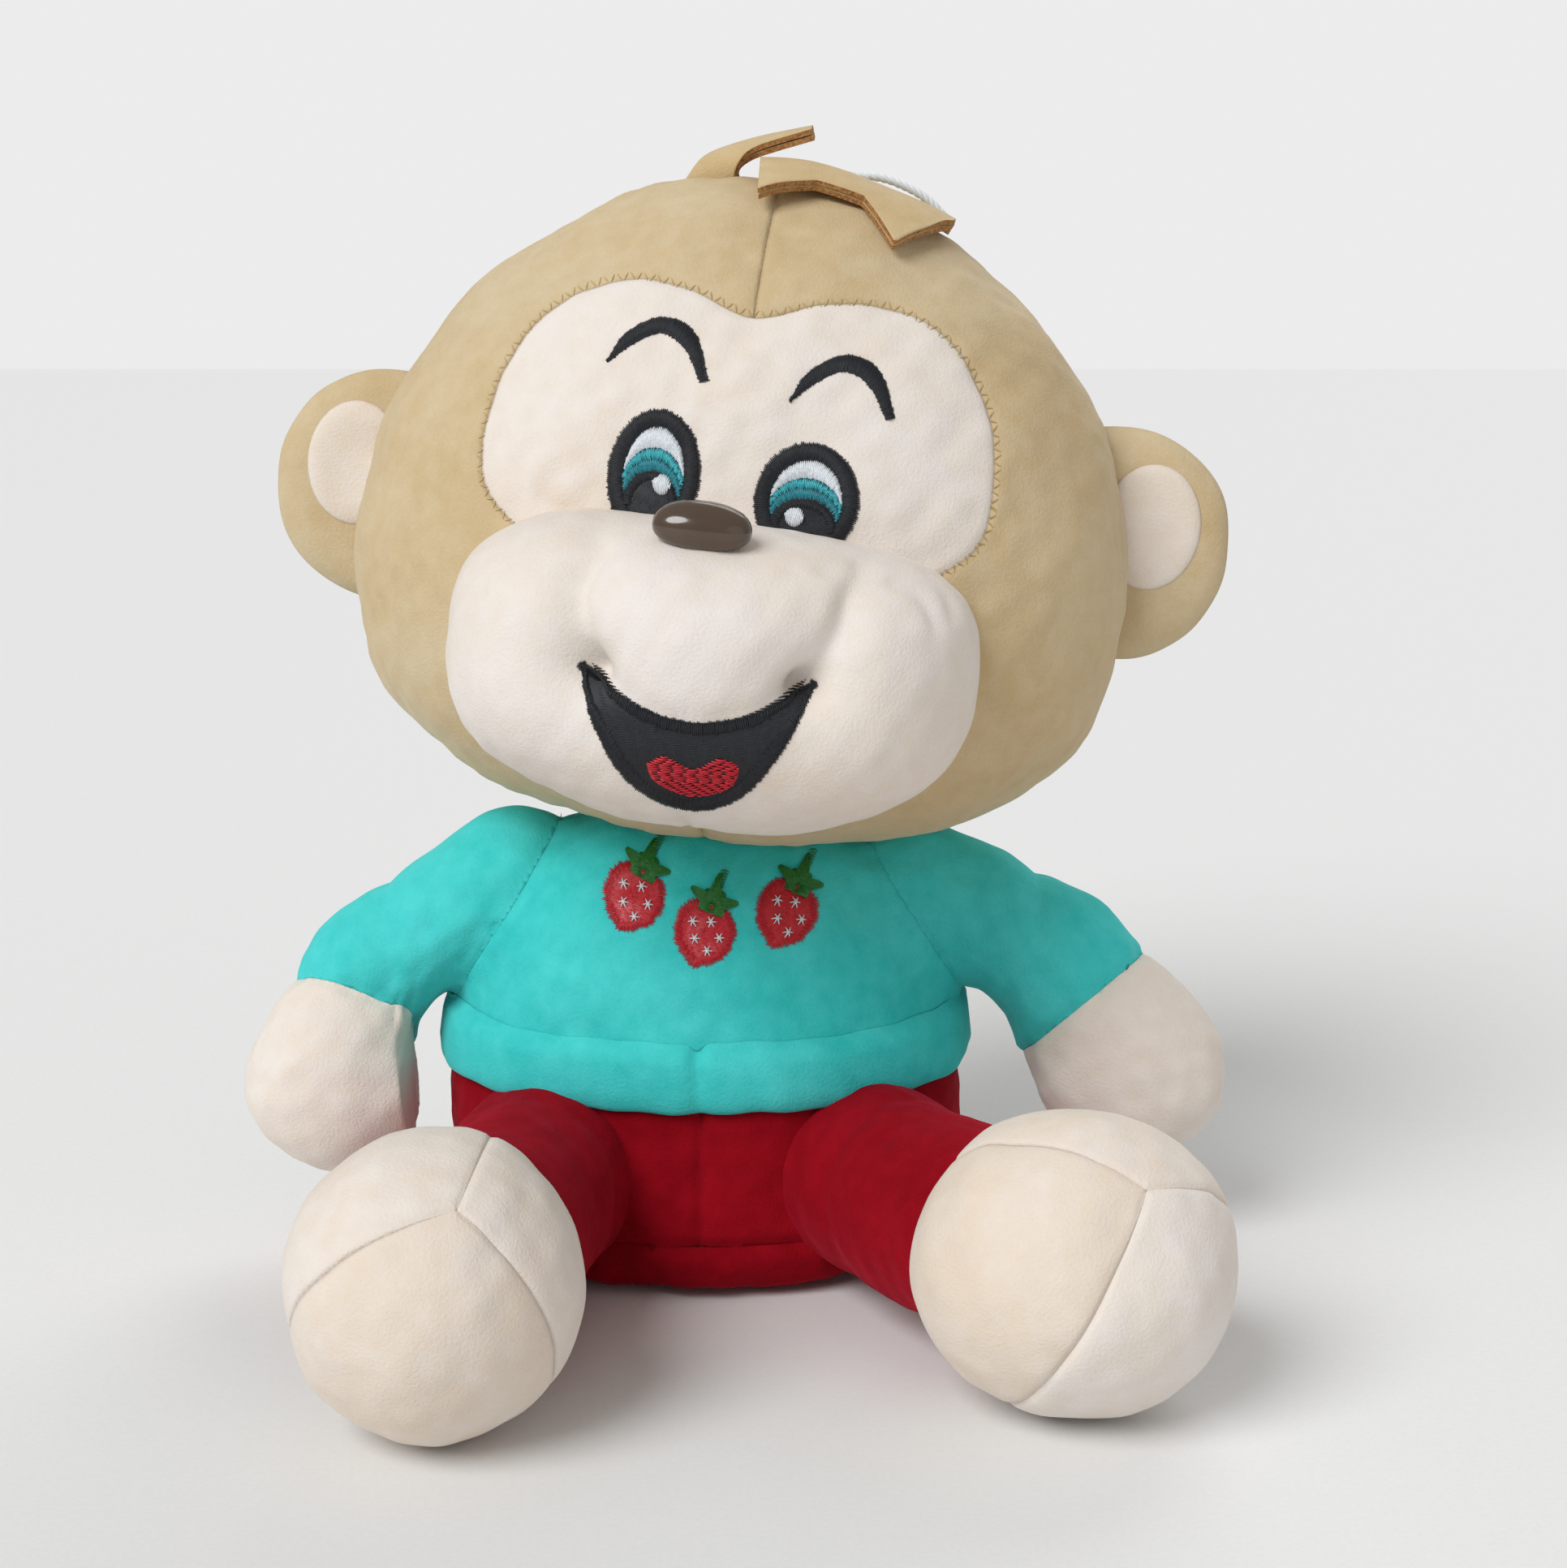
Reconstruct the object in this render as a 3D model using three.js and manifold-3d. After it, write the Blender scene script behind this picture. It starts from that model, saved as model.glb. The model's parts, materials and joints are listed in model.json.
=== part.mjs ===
// A seated plush monkey in short velour: tan head, cream face and muzzle, turquoise shirt, red trousers.
// Millimetres, +Z up. The face looks along -Y and the toy's own left is +X.
// The origin is on the floor, at the middle of the flat seat panel.
// Each fabric panel is its own thin shell, cut along its seams. Each filling is a solid inside its shells.
import * as THREE from "three";
import { mergeVertices } from "three/addons/utils/BufferGeometryUtils.js";
import Module from "manifold-3d";

const wasm = await Module();
wasm.setup();

// ---------------------------------------------------------------- driving dimensions

const FABRIC = 2; // velour with its pile
const GAP = 0.3; // clear gap between two pieces that touch
const JOINT_CLEARANCE = 0.8; // clear gap round a piece that flexes
const THREAD = 0.7; // how far embroidery stands on its fabric
const BIG = 400; // half-size of a cutting block, larger than the toy

// A stuffed form: half-width, half-depth, height above and below its widest ring, and how full each part is.
const TORSO = {
  width: 63, depth: 47, up: 76, down: 38,
  upPower: 2.1, downPower: 6, planPower: 2.2, lean: 14,
  rings: 10, sides: 22,
};
const TORSO_WAIST = 36; // height of the widest ring
const NECK_HEIGHT = 106; // where the shirt ends under the head
const STUFFING_TOP = 92; // where the torso's filling ends, clear of the head as it nods
const LEG_RADIUS = 22.5;
const HIP_HEIGHT = LEG_RADIUS + 3;
const TROUSER_TOP = 2 * LEG_RADIUS + 5; // the trousers run up over the hips, under the shirt's hem
const SEAT_SEAM = 13; // height of the seam round the seat panel
const HEM = { low: 44, high: 61, proud: 2.4 };
const PRINTS = [
  { x: -14.5, z: 90.5, lean: 24 },
  { x: 1, z: 83.5, lean: 18 },
  { x: 19.5, z: 87, lean: 26 },
]; // the three embroidered strawberries on the chest

const HEAD = {
  width: 90, depth: 64, up: 89, down: 63,
  upPower: 2, downPower: 2.5, planPower: 2.15, lean: 0,
  rings: 11, sides: 24,
};
const HEAD_WIDEST = -13; // height of the widest ring, measured from the head's own centre
const HEAD_RISE = 73; // head centre above the neck pivot
const HEAD_ROLL = 6.4; // degrees of lean to the toy's left
const HEAD_YAW = -4; // degrees of turn to the toy's right
const NECK = { x: 2.7, z: 103, radius: 20 };
const CROWN_SEAM_Y = 6; // the seam from ear to ear, a little behind the middle
const FACE = [
  [0, 46.6], [14.5, 50.5], [29.5, 51], [43.5, 44], [53, 30],
  [55.5, 15], [53, 3], [41, -7], [30, -22], [0, -28],
]; // one half of the face panel's outline
const FACE_MIDDLE = { halfWidth: 55, z: 10 };
const BROW = [
  [-11, -4.6], [-8.6, 0], [-0.8, 5.4], [7.6, 1.6], [11.2, -6.6], [6.6, -0.6], [-0.6, 3], [-6.8, -1.2],
];
const BROWS = { right: { x: -18.6, z: 38.6 }, left: { x: 21.2, z: 35.2 } };
const EYES = {
  right: { x: -16.4, z: 11.7, halfWidth: 9.7, halfHeight: 13.2 },
  left: { x: 16.2, z: 10, halfWidth: 10.8, halfHeight: 11.8 },
};
const EYE_BORDER = 3.4;
const PUPIL = { drop: 0.55, width: 0.92, height: 0.8 }; // shares of the eye inside its border
const IRIS = { drop: 0.3, wider: 2, height: 0.85 }; // shares, and wider is a length

const MUZZLE = {
  width: 57, depth: 42, up: 30, down: 36,
  upPower: 3, downPower: 2.3, planPower: 2.3, lean: 0,
  rings: 9, sides: 20,
};
const MUZZLE_AT = { y: -56, z: -26 };
const MOUTH = [
  [-24.6, -24.6], [-12, -30.6], [0, -32.8], [12, -29.8], [23.6, -22.8], [19, -40], [0, -54], [-19, -41],
];
const TONGUE = [
  [-8.6, -41], [-4.4, -39.4], [1, -41], [6.4, -38.4], [10.8, -40.4], [8.4, -47], [0, -50], [-7, -47.4],
];
const TONGUE_MIDDLE = { halfWidth: 8, z: -44 };
const NOSE = {
  width: 10.2, height: 5.4, deep: 5,
  x: -3, y: -82.6, z: 4.8, tilt: 50,
  post: 2, postLength: 16,
};
const WASHER = { radius: 7, thick: 1.6, depth: 11 };

const EAR = { reach: 27, halfHeight: 27, halfThick: 6.5, rootX: HEAD.width - 5, y: 4 };
const EAR_Z = { right: -5, left: 2 };
const EAR_PATCH = { halfWidth: 11.5, halfHeight: 14.5, x: 8, z: 5, thick: 1.2 };
const EAR_FLEX = [-25, 0, 25]; // degrees back and forward

const HAIR = { thick: 3, lift: 0.9 };
// The fringe is drawn from above, in X and Y, and the tuft from the front, in X and Z.
const FRINGE = [[-6, 3], [38, 3], [43, -10], [27, -31], [19, -17], [8, -15], [-5, -17]];
const TUFT = [[-23, 70], [-7, 74.5], [-1, 79], [5.4, 85.6], [5, 90.4], [-11, 84.6], [-19, 79], [-23.4, 74]];
const LOOP = {
  diameter: 2.2,
  route: [
    [14, 10, 78], [22, 11, 78.4], [31, 12.4, 75.6], [37.6, 14.6, 70.6],
    [36.6, 17.6, 69], [29, 17.4, 71.8], [21, 16, 75], [14, 13.4, 77.4],
  ],
};

// Arms: centre line from the shoulder pivot to the tip of the hand, and its half-widths.
const ARM_RADIUS = 20;
const ARMS = {
  right: [[-45, 0, 85], [-64, -1, 74.5], [-79.5, -5, 60], [-86.5, -16, 42], [-91, -20, 20]],
  left: [[47, 0, 83], [69, -1, 75], [88, -5, 62], [101.5, -11, 43.5], [110.5, -15, 22]],
};
const ARM_WIDTHS = [[0, 20, 20], [0.3, 21.5, 20.5], [0.55, 19.6, 18.6], [0.76, 24, 19.5], [1, 20, 16.5]];
const CUFF_AT = 0.56; // share of the arm's length that the sleeve covers
const HAND_TIP = 17; // how far back from its end the hand starts to round off
const THUMB = { radius: 8.5, root: 10.5, reach: 19, inward: 1, forward: 0.55, down: 0.1 };
const ARM_LIFT = [0, 25, 45]; // degrees the arm lifts from where it hangs

// Legs: centre line from the hip pivot to the middle of the foot ball.
const ANKLE = { halfWidth: LEG_RADIUS + 1.5, halfHeight: LEG_RADIUS + 0.5 };
const FOOT_RADIUS = LEG_RADIUS + 9;
const FOOT = {
  right: { wide: FOOT_RADIUS - 1, radius: FOOT_RADIUS },
  left: { wide: FOOT_RADIUS + 2.5, radius: FOOT_RADIUS },
};
const LEGS = {
  right: [[-33, -33, HIP_HEIGHT], [-40, -70, HIP_HEIGHT + 1.5], [-51.5, -115, FOOT_RADIUS]],
  left: [[38, -35, HIP_HEIGHT], [55, -68, HIP_HEIGHT + 2], [79, -104, FOOT_RADIUS]],
};
const FOOT_SLACK = 1; // the foot's filling stays this much smaller, because its facets differ
const FILL_SWELL = 0.05; // share of the leg's length before the ankle where its filling starts to widen
const ANKLE_AT = 0.76; // share of the leg's length, hip to foot centre, that the trouser leg covers
const FOOT_SEAM_AIM = { right: [8.5, -21, 25], left: [13, -22, 27] }; // where the three foot panels meet
const FOOT_PANELS = { right: ["outer", "sole", "inner"], left: ["inner", "sole", "outer"] };
const FOOT_SEAMS = { right: [57, 186, 310], left: [123, 230, 354] };
const LEG_LIFT = [-10, 10, 30]; // degrees the leg flexes down and up

const HEAD_NOD = [-8, 5]; // degrees back and forward
const HEAD_TURN = [-20, 0, 20];

// ---------------------------------------------------------------- finishes

const finish = (color, roughness) => new THREE.MeshStandardMaterial({ color, roughness, metalness: 0 });
const TAN = finish(0xcdb98c, 0.95);
const CREAM = finish(0xeee3d6, 0.95);
const TURQUOISE = finish(0x3fbfb5, 0.95);
const RED = finish(0x9b0f20, 0.95);
const BLACK_THREAD = finish(0x15171c, 0.5);
const WHITE_THREAD = finish(0xe4e9ec, 0.5);
const TEAL_THREAD = finish(0x43b3b8, 0.45);
const RED_THREAD = finish(0xa81c2a, 0.5);
const GREEN_THREAD = finish(0x1d6b30, 0.5);
const BROWN_PLASTIC = finish(0x4a3f33, 0.2);
const WHITE_PLASTIC = finish(0xf0f0ee, 0.5);
const FILLING = finish(0xf7f7f7, 1);
const WHITE_CORD = finish(0xeef1f3, 0.6);

// ---------------------------------------------------------------- solids and placing

const rad = THREE.MathUtils.degToRad;
const at = (x, y, z) => new THREE.Vector3(x, y, z);
const X = at(1, 0, 0);
const Y = at(0, 1, 0);
const Z = at(0, 0, 1);
const shift = (x, y, z) => new THREE.Matrix4().makeTranslation(x, y, z);
const turned = (axis, degrees) => new THREE.Matrix4().makeRotationAxis(axis, rad(degrees));
const chain = (...steps) => steps.reduce((all, m) => all.multiply(m), new THREE.Matrix4());
const turnedAt = (p, axis, degrees) => chain(
  shift(p.x, p.y, p.z),
  turned(axis, degrees),
  shift(-p.x, -p.y, -p.z),
);

function solid(geometry, matrix = new THREE.Matrix4()) {
  const g = geometry.clone().applyMatrix4(matrix);
  g.deleteAttribute("normal");
  g.deleteAttribute("uv");
  const merged = mergeVertices(g, 1e-4);
  return new wasm.Manifold(new wasm.Mesh({
    numProp: 3,
    vertProperties: new Float32Array(merged.attributes.position.array),
    triVerts: new Uint32Array(merged.index.array),
  }));
}

function geometryOf(body) {
  const mesh = body.getMesh();
  const g = new THREE.BufferGeometry();
  g.setAttribute("position", new THREE.BufferAttribute(mesh.vertProperties, 3));
  g.setIndex(new THREE.BufferAttribute(mesh.triVerts, 1));
  return g;
}

const moved = (body, matrix) => solid(geometryOf(body), matrix);

function place(group, name, body, material) {
  const mesh = new THREE.Mesh(geometryOf(body), material);
  mesh.name = name;
  group.add(mesh);
}

// A block that fills everything past a plane, in the direction given.
function beyond(point, direction) {
  const block = new THREE.BoxGeometry(2 * BIG, 2 * BIG, 2 * BIG).translate(0, 0, BIG);
  block.applyQuaternion(new THREE.Quaternion().setFromUnitVectors(Z, direction.clone().normalize()));
  return solid(block, shift(point.x, point.y, point.z));
}
const ahead = (axis, value) => beyond(axis.clone().multiplyScalar(value), axis);
const behind = (axis, value) => beyond(axis.clone().multiplyScalar(value), axis.clone().negate());

const ball = (p, radius) => solid(new THREE.SphereGeometry(radius, 16, 8), shift(p.x, p.y, p.z));

// A prism along one axis of the drawing: "Y" takes the outline as X and Z, and "Z" takes it as X and Y.
function prism(outline, along, near = -BIG, far = BIG) {
  const corners = outline.map(([a, b]) => new THREE.Vector2(a, b));
  if (THREE.ShapeUtils.isClockWise(corners)) corners.reverse();
  const g = new THREE.ExtrudeGeometry(new THREE.Shape(corners), { depth: far - near, bevelEnabled: false });
  return solid(g, along === "Z" ? shift(0, 0, near) : chain(shift(0, far, 0), turned(X, 90)));
}

function smooth(points, steps) {
  const curve = new THREE.CatmullRomCurve3(points.map(([a, b]) => at(a, b, 0)), true, "centripetal");
  return curve.getPoints(steps).slice(0, steps).map((p) => [p.x, p.y]);
}

function oval(x, z, halfWidth, halfHeight, steps = 24) {
  const turnAt = (k) => (2 * Math.PI * k) / steps;
  const corner = (_, k) => [x + Math.cos(turnAt(k)) * halfWidth, z + Math.sin(turnAt(k)) * halfHeight];
  return Array.from({ length: steps }, corner);
}

// An outline leant over by some degrees, clockwise as the viewer sees it, and moved into place.
const leant = (outline, degrees, x, z) => outline.map(([a, b]) => [
  x + a * Math.cos(rad(degrees)) + b * Math.sin(rad(degrees)),
  z + b * Math.cos(rad(degrees)) - a * Math.sin(rad(degrees)),
]);

// ---------------------------------------------------------------- stuffed forms

// Rings of points closed by one point at each end.
function fromRings(rings, first, last) {
  const sides = rings[0].length;
  const points = [first, ...rings.flat(), last];
  const index = [];
  const id = (ring, k) => 1 + ring * sides + (k % sides);
  for (let k = 0; k < sides; k++) {
    index.push(0, id(0, k + 1), id(0, k));
    index.push(points.length - 1, id(rings.length - 1, k), id(rings.length - 1, k + 1));
    for (let r = 0; r < rings.length - 1; r++) {
      index.push(id(r, k), id(r, k + 1), id(r + 1, k + 1));
      index.push(id(r, k), id(r + 1, k + 1), id(r + 1, k));
    }
  }
  return new THREE.BufferGeometry().setFromPoints(points).setIndex(index);
}

const power = (value, exponent) => Math.sign(value) * Math.abs(value) ** exponent;

// An egg about Z with its widest ring at z = 0, made larger all round by grow.
// Its bottom leans forward by lean.
function egg(form, grow = 0) {
  const rings = [];
  for (let i = 1; i < form.rings; i++) {
    const level = rad(-90 + (180 * i) / form.rings);
    const [height, fullness] = level > 0 ? [form.up, form.upPower] : [form.down, form.downPower];
    const z = power(Math.sin(level), 2 / fullness) * (height + grow);
    const size = power(Math.cos(level), 2 / fullness);
    const forward = z < 0 ? form.lean * (z / form.down) ** 2 : 0;
    const ring = [];
    for (let k = 0; k < form.sides; k++) {
      const turn = (2 * Math.PI * k) / form.sides;
      const x = power(Math.cos(turn), 2 / form.planPower) * (form.width + grow) * size;
      const y = power(Math.sin(turn), 2 / form.planPower) * (form.depth + grow) * size - forward;
      ring.push(at(x, y, z));
    }
    rings.push(ring);
  }
  return fromRings(rings, at(0, -form.lean, -form.down - grow), at(0, 0, form.up + grow));
}

// A stuffed limb along a centre line, with its rounded start centred on the first point.
// widths lists share of length, half-width across and half-width along fore, the limb's thin way.
function limb(points, widths, endRound, grow = 0, fore = Y, count = 10, sides = 14) {
  const line = points.map(([x, y, z]) => at(x, y, z));
  const startRadius = widths[0][1];
  const out = line[1].clone().sub(line[0]).normalize();
  const curve = new THREE.CatmullRomCurve3(line, false, "centripetal");
  const length = curve.getLength();
  const widthAt = (s, which) => {
    const next = Math.max(1, widths.findIndex((w) => w[0] >= s));
    const [a, b] = [widths[next - 1], widths[next]];
    return THREE.MathUtils.lerp(a[which], b[which], THREE.MathUtils.smoothstep(s, a[0], b[0]));
  };
  const rings = [];
  const total = startRadius + length;
  const reach = (i) => ((1 - Math.cos((Math.PI * i) / count)) / 2) * (total + 2 * grow) - startRadius - grow;
  const middle = (d) => {
    const s = THREE.MathUtils.clamp(d / length, 0, 1);
    return curve.getPointAt(s).addScaledVector(s > 0 ? curve.getTangentAt(s) : out, d - s * length);
  };
  for (let i = 1; i < count; i++) {
    const d = reach(i);
    const s = THREE.MathUtils.clamp(d / length, 0, 1);
    const tangent = s > 0 ? curve.getTangentAt(s) : out;
    const aft = fore.clone().addScaledVector(tangent, -tangent.dot(fore)).normalize();
    const across = new THREE.Vector3().crossVectors(aft, tangent);
    const startLeft = Math.min(1, (d + startRadius + grow) / (startRadius + grow));
    const endLeft = Math.min(1, (length + grow - d) / (endRound + grow));
    const cap = Math.sqrt(1 - (1 - startLeft) ** 2) * Math.sqrt(1 - (1 - endLeft) ** 2);
    const ring = [];
    for (let k = 0; k < sides; k++) {
      const turn = (2 * Math.PI * k) / sides;
      const p = middle(d);
      p.addScaledVector(across, Math.cos(turn) * (widthAt(s, 1) + grow) * cap);
      p.addScaledVector(aft, Math.sin(turn) * (widthAt(s, 2) + grow) * cap);
      ring.push(p);
    }
    rings.push(ring);
  }
  return fromRings(rings, middle(-startRadius - grow), middle(length + grow));
}

// Everything that a body sweeps against, seen from the body itself, as it turns about a pivot.
function sweptAgainst(body, pivot, axis, angles) {
  let all = null;
  for (const angle of angles) {
    const seen = moved(body, turnedAt(pivot, axis, -angle));
    all = all ? all.add(seen) : seen;
  }
  return all;
}

const both = (make) => ["right", "left"].forEach((side) => make(side, side === "left" ? 1 : -1));

// ---------------------------------------------------------------- frames and pivots

const monkey = new THREE.Group();
monkey.name = "plush_monkey";
const head = new THREE.Group();
head.name = "head_group";
const headTurn = chain(shift(NECK.x, 0, NECK.z), turned(Z, HEAD_YAW), turned(Y, HEAD_ROLL));
const headFrame = chain(headTurn, shift(0, 0, HEAD_RISE));
head.applyMatrix4(headFrame);
monkey.add(head);

const neckPivot = at(NECK.x, 0, NECK.z);
const neckInHead = at(0, 0, -HEAD_RISE);
const pivotOf = (points) => at(...points[0]);

const torsoForm = (grow) => solid(egg(TORSO, grow), shift(0, 0, TORSO_WAIST));
const headForm = (grow) => solid(egg(HEAD, grow), shift(0, 0, HEAD_WIDEST));
const muzzleForm = (grow) => solid(egg(MUZZLE, grow), shift(0, MUZZLE_AT.y, MUZZLE_AT.z));

// ---------------------------------------------------------------- room that the moving pieces need

// Room is cut with flatter facets, which stand a little outside the finer ones of the piece itself.
const ROUGH = { rings: 8, sides: 16 };
const ROUGH_EXTRA = 1.2;
const rough = (form, matrix) => solid(egg({ ...form, ...ROUGH }, JOINT_CLEARANCE + ROUGH_EXTRA), matrix);
const headInWorld = rough(HEAD, chain(headFrame, shift(0, 0, HEAD_WIDEST)));
let headSweep = headInWorld;
for (const turn of HEAD_TURN) {
  for (const nod of HEAD_NOD) {
    const pose = chain(turnedAt(neckPivot, Z, turn), turnedAt(neckPivot, X, nod));
    headSweep = headSweep.add(moved(headInWorld, pose));
  }
}
const hemBand = (grow) => torsoForm(HEM.proud + grow).intersect(ahead(Z, HEM.low - grow))
  .intersect(behind(Z, HEM.high + grow));
const trunk = rough(TORSO, shift(0, 0, TORSO_WAIST)).add(hemBand(JOINT_CLEARANCE));
const seatBalls = ["right", "left"].reduce(
  (all, side) => all.add(ball(pivotOf(LEGS[side]), LEG_RADIUS + JOINT_CLEARANCE))
    .add(ball(pivotOf(ARMS[side]), ARM_RADIUS + JOINT_CLEARANCE)),
  ball(neckPivot, NECK.radius + JOINT_CLEARANCE),
);
const torsoRoom = seatBalls.add(headSweep);

// ---------------------------------------------------------------- torso, shirt and trousers

const aboveFloor = ahead(Z, 0);
const torsoShell = torsoForm(0).intersect(aboveFloor)
  .subtract(torsoForm(-FABRIC).intersect(ahead(Z, FABRIC)))
  .intersect(behind(Z, NECK_HEIGHT)).subtract(torsoRoom);
place(monkey, "torso_stuffing", torsoForm(-FABRIC - GAP).intersect(ahead(Z, FABRIC + GAP))
  .intersect(behind(Z, STUFFING_TOP)).subtract(seatBalls), FILLING);
place(monkey, "neck_stuffing", ball(neckPivot, NECK.radius), FILLING);

const shirt = torsoShell.intersect(ahead(Z, TROUSER_TOP + GAP));
const trousers = torsoShell.intersect(ahead(Z, SEAT_SEAM + GAP)).intersect(behind(Z, TROUSER_TOP));
place(monkey, "shirt_front", shirt.intersect(behind(Y, -GAP / 2)), TURQUOISE);
place(monkey, "shirt_back", shirt.intersect(ahead(Y, GAP / 2)), TURQUOISE);
place(monkey, "trousers_right", trousers.intersect(behind(X, -GAP / 2)), RED);
place(monkey, "trousers_left", trousers.intersect(ahead(X, GAP / 2)), RED);
place(monkey, "seat_panel", torsoShell.intersect(behind(Z, SEAT_SEAM)), RED);

place(monkey, "hem_band", hemBand(0).subtract(torsoForm(GAP)).subtract(torsoRoom), TURQUOISE);

const chestThread = torsoForm(GAP + THREAD).subtract(torsoForm(GAP))
  .intersect(behind(Y, 0)).subtract(torsoRoom);
const berry = smooth([[0, -7], [-5.6, -2.6], [-6.4, 3], [-2.8, 6], [2.8, 6], [6.4, 3], [5.6, -2.6]], 20);
const leaf = [
  [-6.4, 6.6], [-3, 7.4], [-1, 11.4], [1, 11.4], [3, 7.4], [6.4, 6.6], [2.4, 6.8], [0, 6.5], [-2.4, 6.8],
];
PRINTS.forEach((print, k) => {
  const cut = (outline) => chestThread.intersect(prism(leant(outline, print.lean, print.x, print.z), "Y"));
  place(monkey, `strawberry_fruit_${k + 1}`, cut(berry), RED_THREAD);
  place(monkey, `strawberry_leaf_${k + 1}`, cut(leaf), GREEN_THREAD);
});

// ---------------------------------------------------------------- head and face

const neckRoom = ball(neckInHead, NECK.radius + JOINT_CLEARANCE);
const headShell = headForm(0).subtract(headForm(-FABRIC)).subtract(neckRoom);
place(head, "head_stuffing", headForm(-FABRIC - GAP).subtract(neckRoom), FILLING);

const faceHalf = FACE.slice(1, -1);
const faceOutline = [FACE[0], ...faceHalf, FACE.at(-1), ...faceHalf.map(([x, z]) => [-x, z]).reverse()];
const faceCorners = smooth(faceOutline, 48);
const widened = (outline, middle) => outline.map(([x, z]) => [
  x * (1 + GAP / middle.halfWidth),
  z + Math.sign(z - middle.z) * GAP,
]);
const faceWider = smooth(widened(faceOutline, FACE_MIDDLE), 48);
const inFront = behind(Y, CROWN_SEAM_Y - GAP / 2);
const atBack = ahead(Y, CROWN_SEAM_Y + GAP / 2);
const toRight = behind(X, -GAP / 2);
const toLeft = ahead(X, GAP / 2);
const crown = headShell.intersect(inFront).subtract(prism(faceWider, "Y", -BIG, 0));
place(head, "crown_right", crown.intersect(toRight), TAN);
place(head, "crown_left", crown.intersect(toLeft), TAN);
place(head, "head_back_right", headShell.intersect(atBack).intersect(toRight), TAN);
place(head, "head_back_left", headShell.intersect(atBack).intersect(toLeft), TAN);
place(head, "face_panel", headShell.intersect(prism(faceCorners, "Y", -BIG, 0)), CREAM);

const faceThread = headForm(GAP + THREAD).subtract(headForm(GAP)).subtract(muzzleForm(GAP));
const onFace = (outline) => faceThread.intersect(prism(outline, "Y", -BIG, 0));
both((side) => {
  const brow = BROWS[side];
  place(head, `brow_${side}`, onFace(smooth(leant(BROW, 0, brow.x, brow.z), 28)), BLACK_THREAD);
  const eye = EYES[side];
  const insideX = eye.halfWidth - EYE_BORDER;
  const insideZ = eye.halfHeight - EYE_BORDER;
  const inside = (grow) => prism(oval(eye.x, eye.z, insideX + grow, insideZ + grow), "Y", -BIG, 0);
  const lowered = (drop, halfWidth, halfHeight) => prism(
    oval(eye.x, eye.z - insideZ * drop, halfWidth, halfHeight), "Y", -BIG, 0,
  );
  const pupil = (grow) => lowered(PUPIL.drop, insideX * PUPIL.width + grow, insideZ * PUPIL.height + grow);
  const iris = (grow) => lowered(IRIS.drop, insideX + IRIS.wider + grow, insideZ * IRIS.height + grow);
  const whole = onFace(oval(eye.x, eye.z, eye.halfWidth, eye.halfHeight));
  const black = whole.subtract(inside(0)).add(whole.intersect(pupil(0)));
  place(head, `eye_outline_${side}`, black, BLACK_THREAD);
  const coloured = whole.intersect(inside(-GAP)).subtract(pupil(GAP));
  place(head, `eye_white_${side}`, coloured.subtract(iris(GAP)), WHITE_THREAD);
  place(head, `eye_iris_${side}`, coloured.intersect(iris(0)), TEAL_THREAD);
});

const headClear = headForm(GAP);
const noseFrame = chain(shift(NOSE.x, NOSE.y, NOSE.z), turned(X, -NOSE.tilt));
const along = (radius, from, to) => solid(
  new THREE.CylinderGeometry(radius, radius, to - from, 14),
  chain(noseFrame, shift(0, (from + to) / 2, 0)),
);
const noseShape = new THREE.SphereGeometry(1, 16, 8).scale(NOSE.width, NOSE.deep, NOSE.height);
const noseBean = (grow) => solid(noseShape.clone().scale(
  1 + grow / NOSE.width, 1 + grow / NOSE.deep, 1 + grow / NOSE.height,
), noseFrame);
const nosePost = (grow) => along(NOSE.post + grow, 0, NOSE.postLength + grow);
const washerEnd = WASHER.depth + WASHER.thick;
const noseWasher = (grow) => along(WASHER.radius + grow, WASHER.depth - grow, washerEnd + grow);
place(head, "nose", noseBean(0).add(nosePost(0)), BROWN_PLASTIC);
place(head, "nose_washer", noseWasher(0).subtract(nosePost(GAP)), WHITE_PLASTIC);
const noseRoom = noseBean(GAP).add(nosePost(GAP));
place(head, "muzzle_cover", muzzleForm(0).subtract(muzzleForm(-FABRIC))
  .subtract(headClear).subtract(noseRoom), CREAM);
place(head, "muzzle_stuffing", muzzleForm(-FABRIC - GAP).subtract(headForm(GAP + FABRIC))
  .subtract(noseRoom).subtract(noseWasher(GAP)), FILLING);

const muzzleThread = muzzleForm(GAP + THREAD).subtract(muzzleForm(GAP)).subtract(headClear);
const onMuzzle = (outline) => muzzleThread.intersect(prism(outline, "Y", -BIG, MUZZLE_AT.y - NOSE.deep));
const mouthOutline = smooth(MOUTH, 30);
const tongueOutline = smooth(TONGUE, 24);
const tongueRoom = smooth(widened(TONGUE, TONGUE_MIDDLE), 24);
place(head, "mouth", onMuzzle(mouthOutline).subtract(prism(tongueRoom, "Y")), BLACK_THREAD);
place(head, "tongue", onMuzzle(tongueOutline), RED_THREAD);

// ---------------------------------------------------------------- ears, hair and hanging loop

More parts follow.
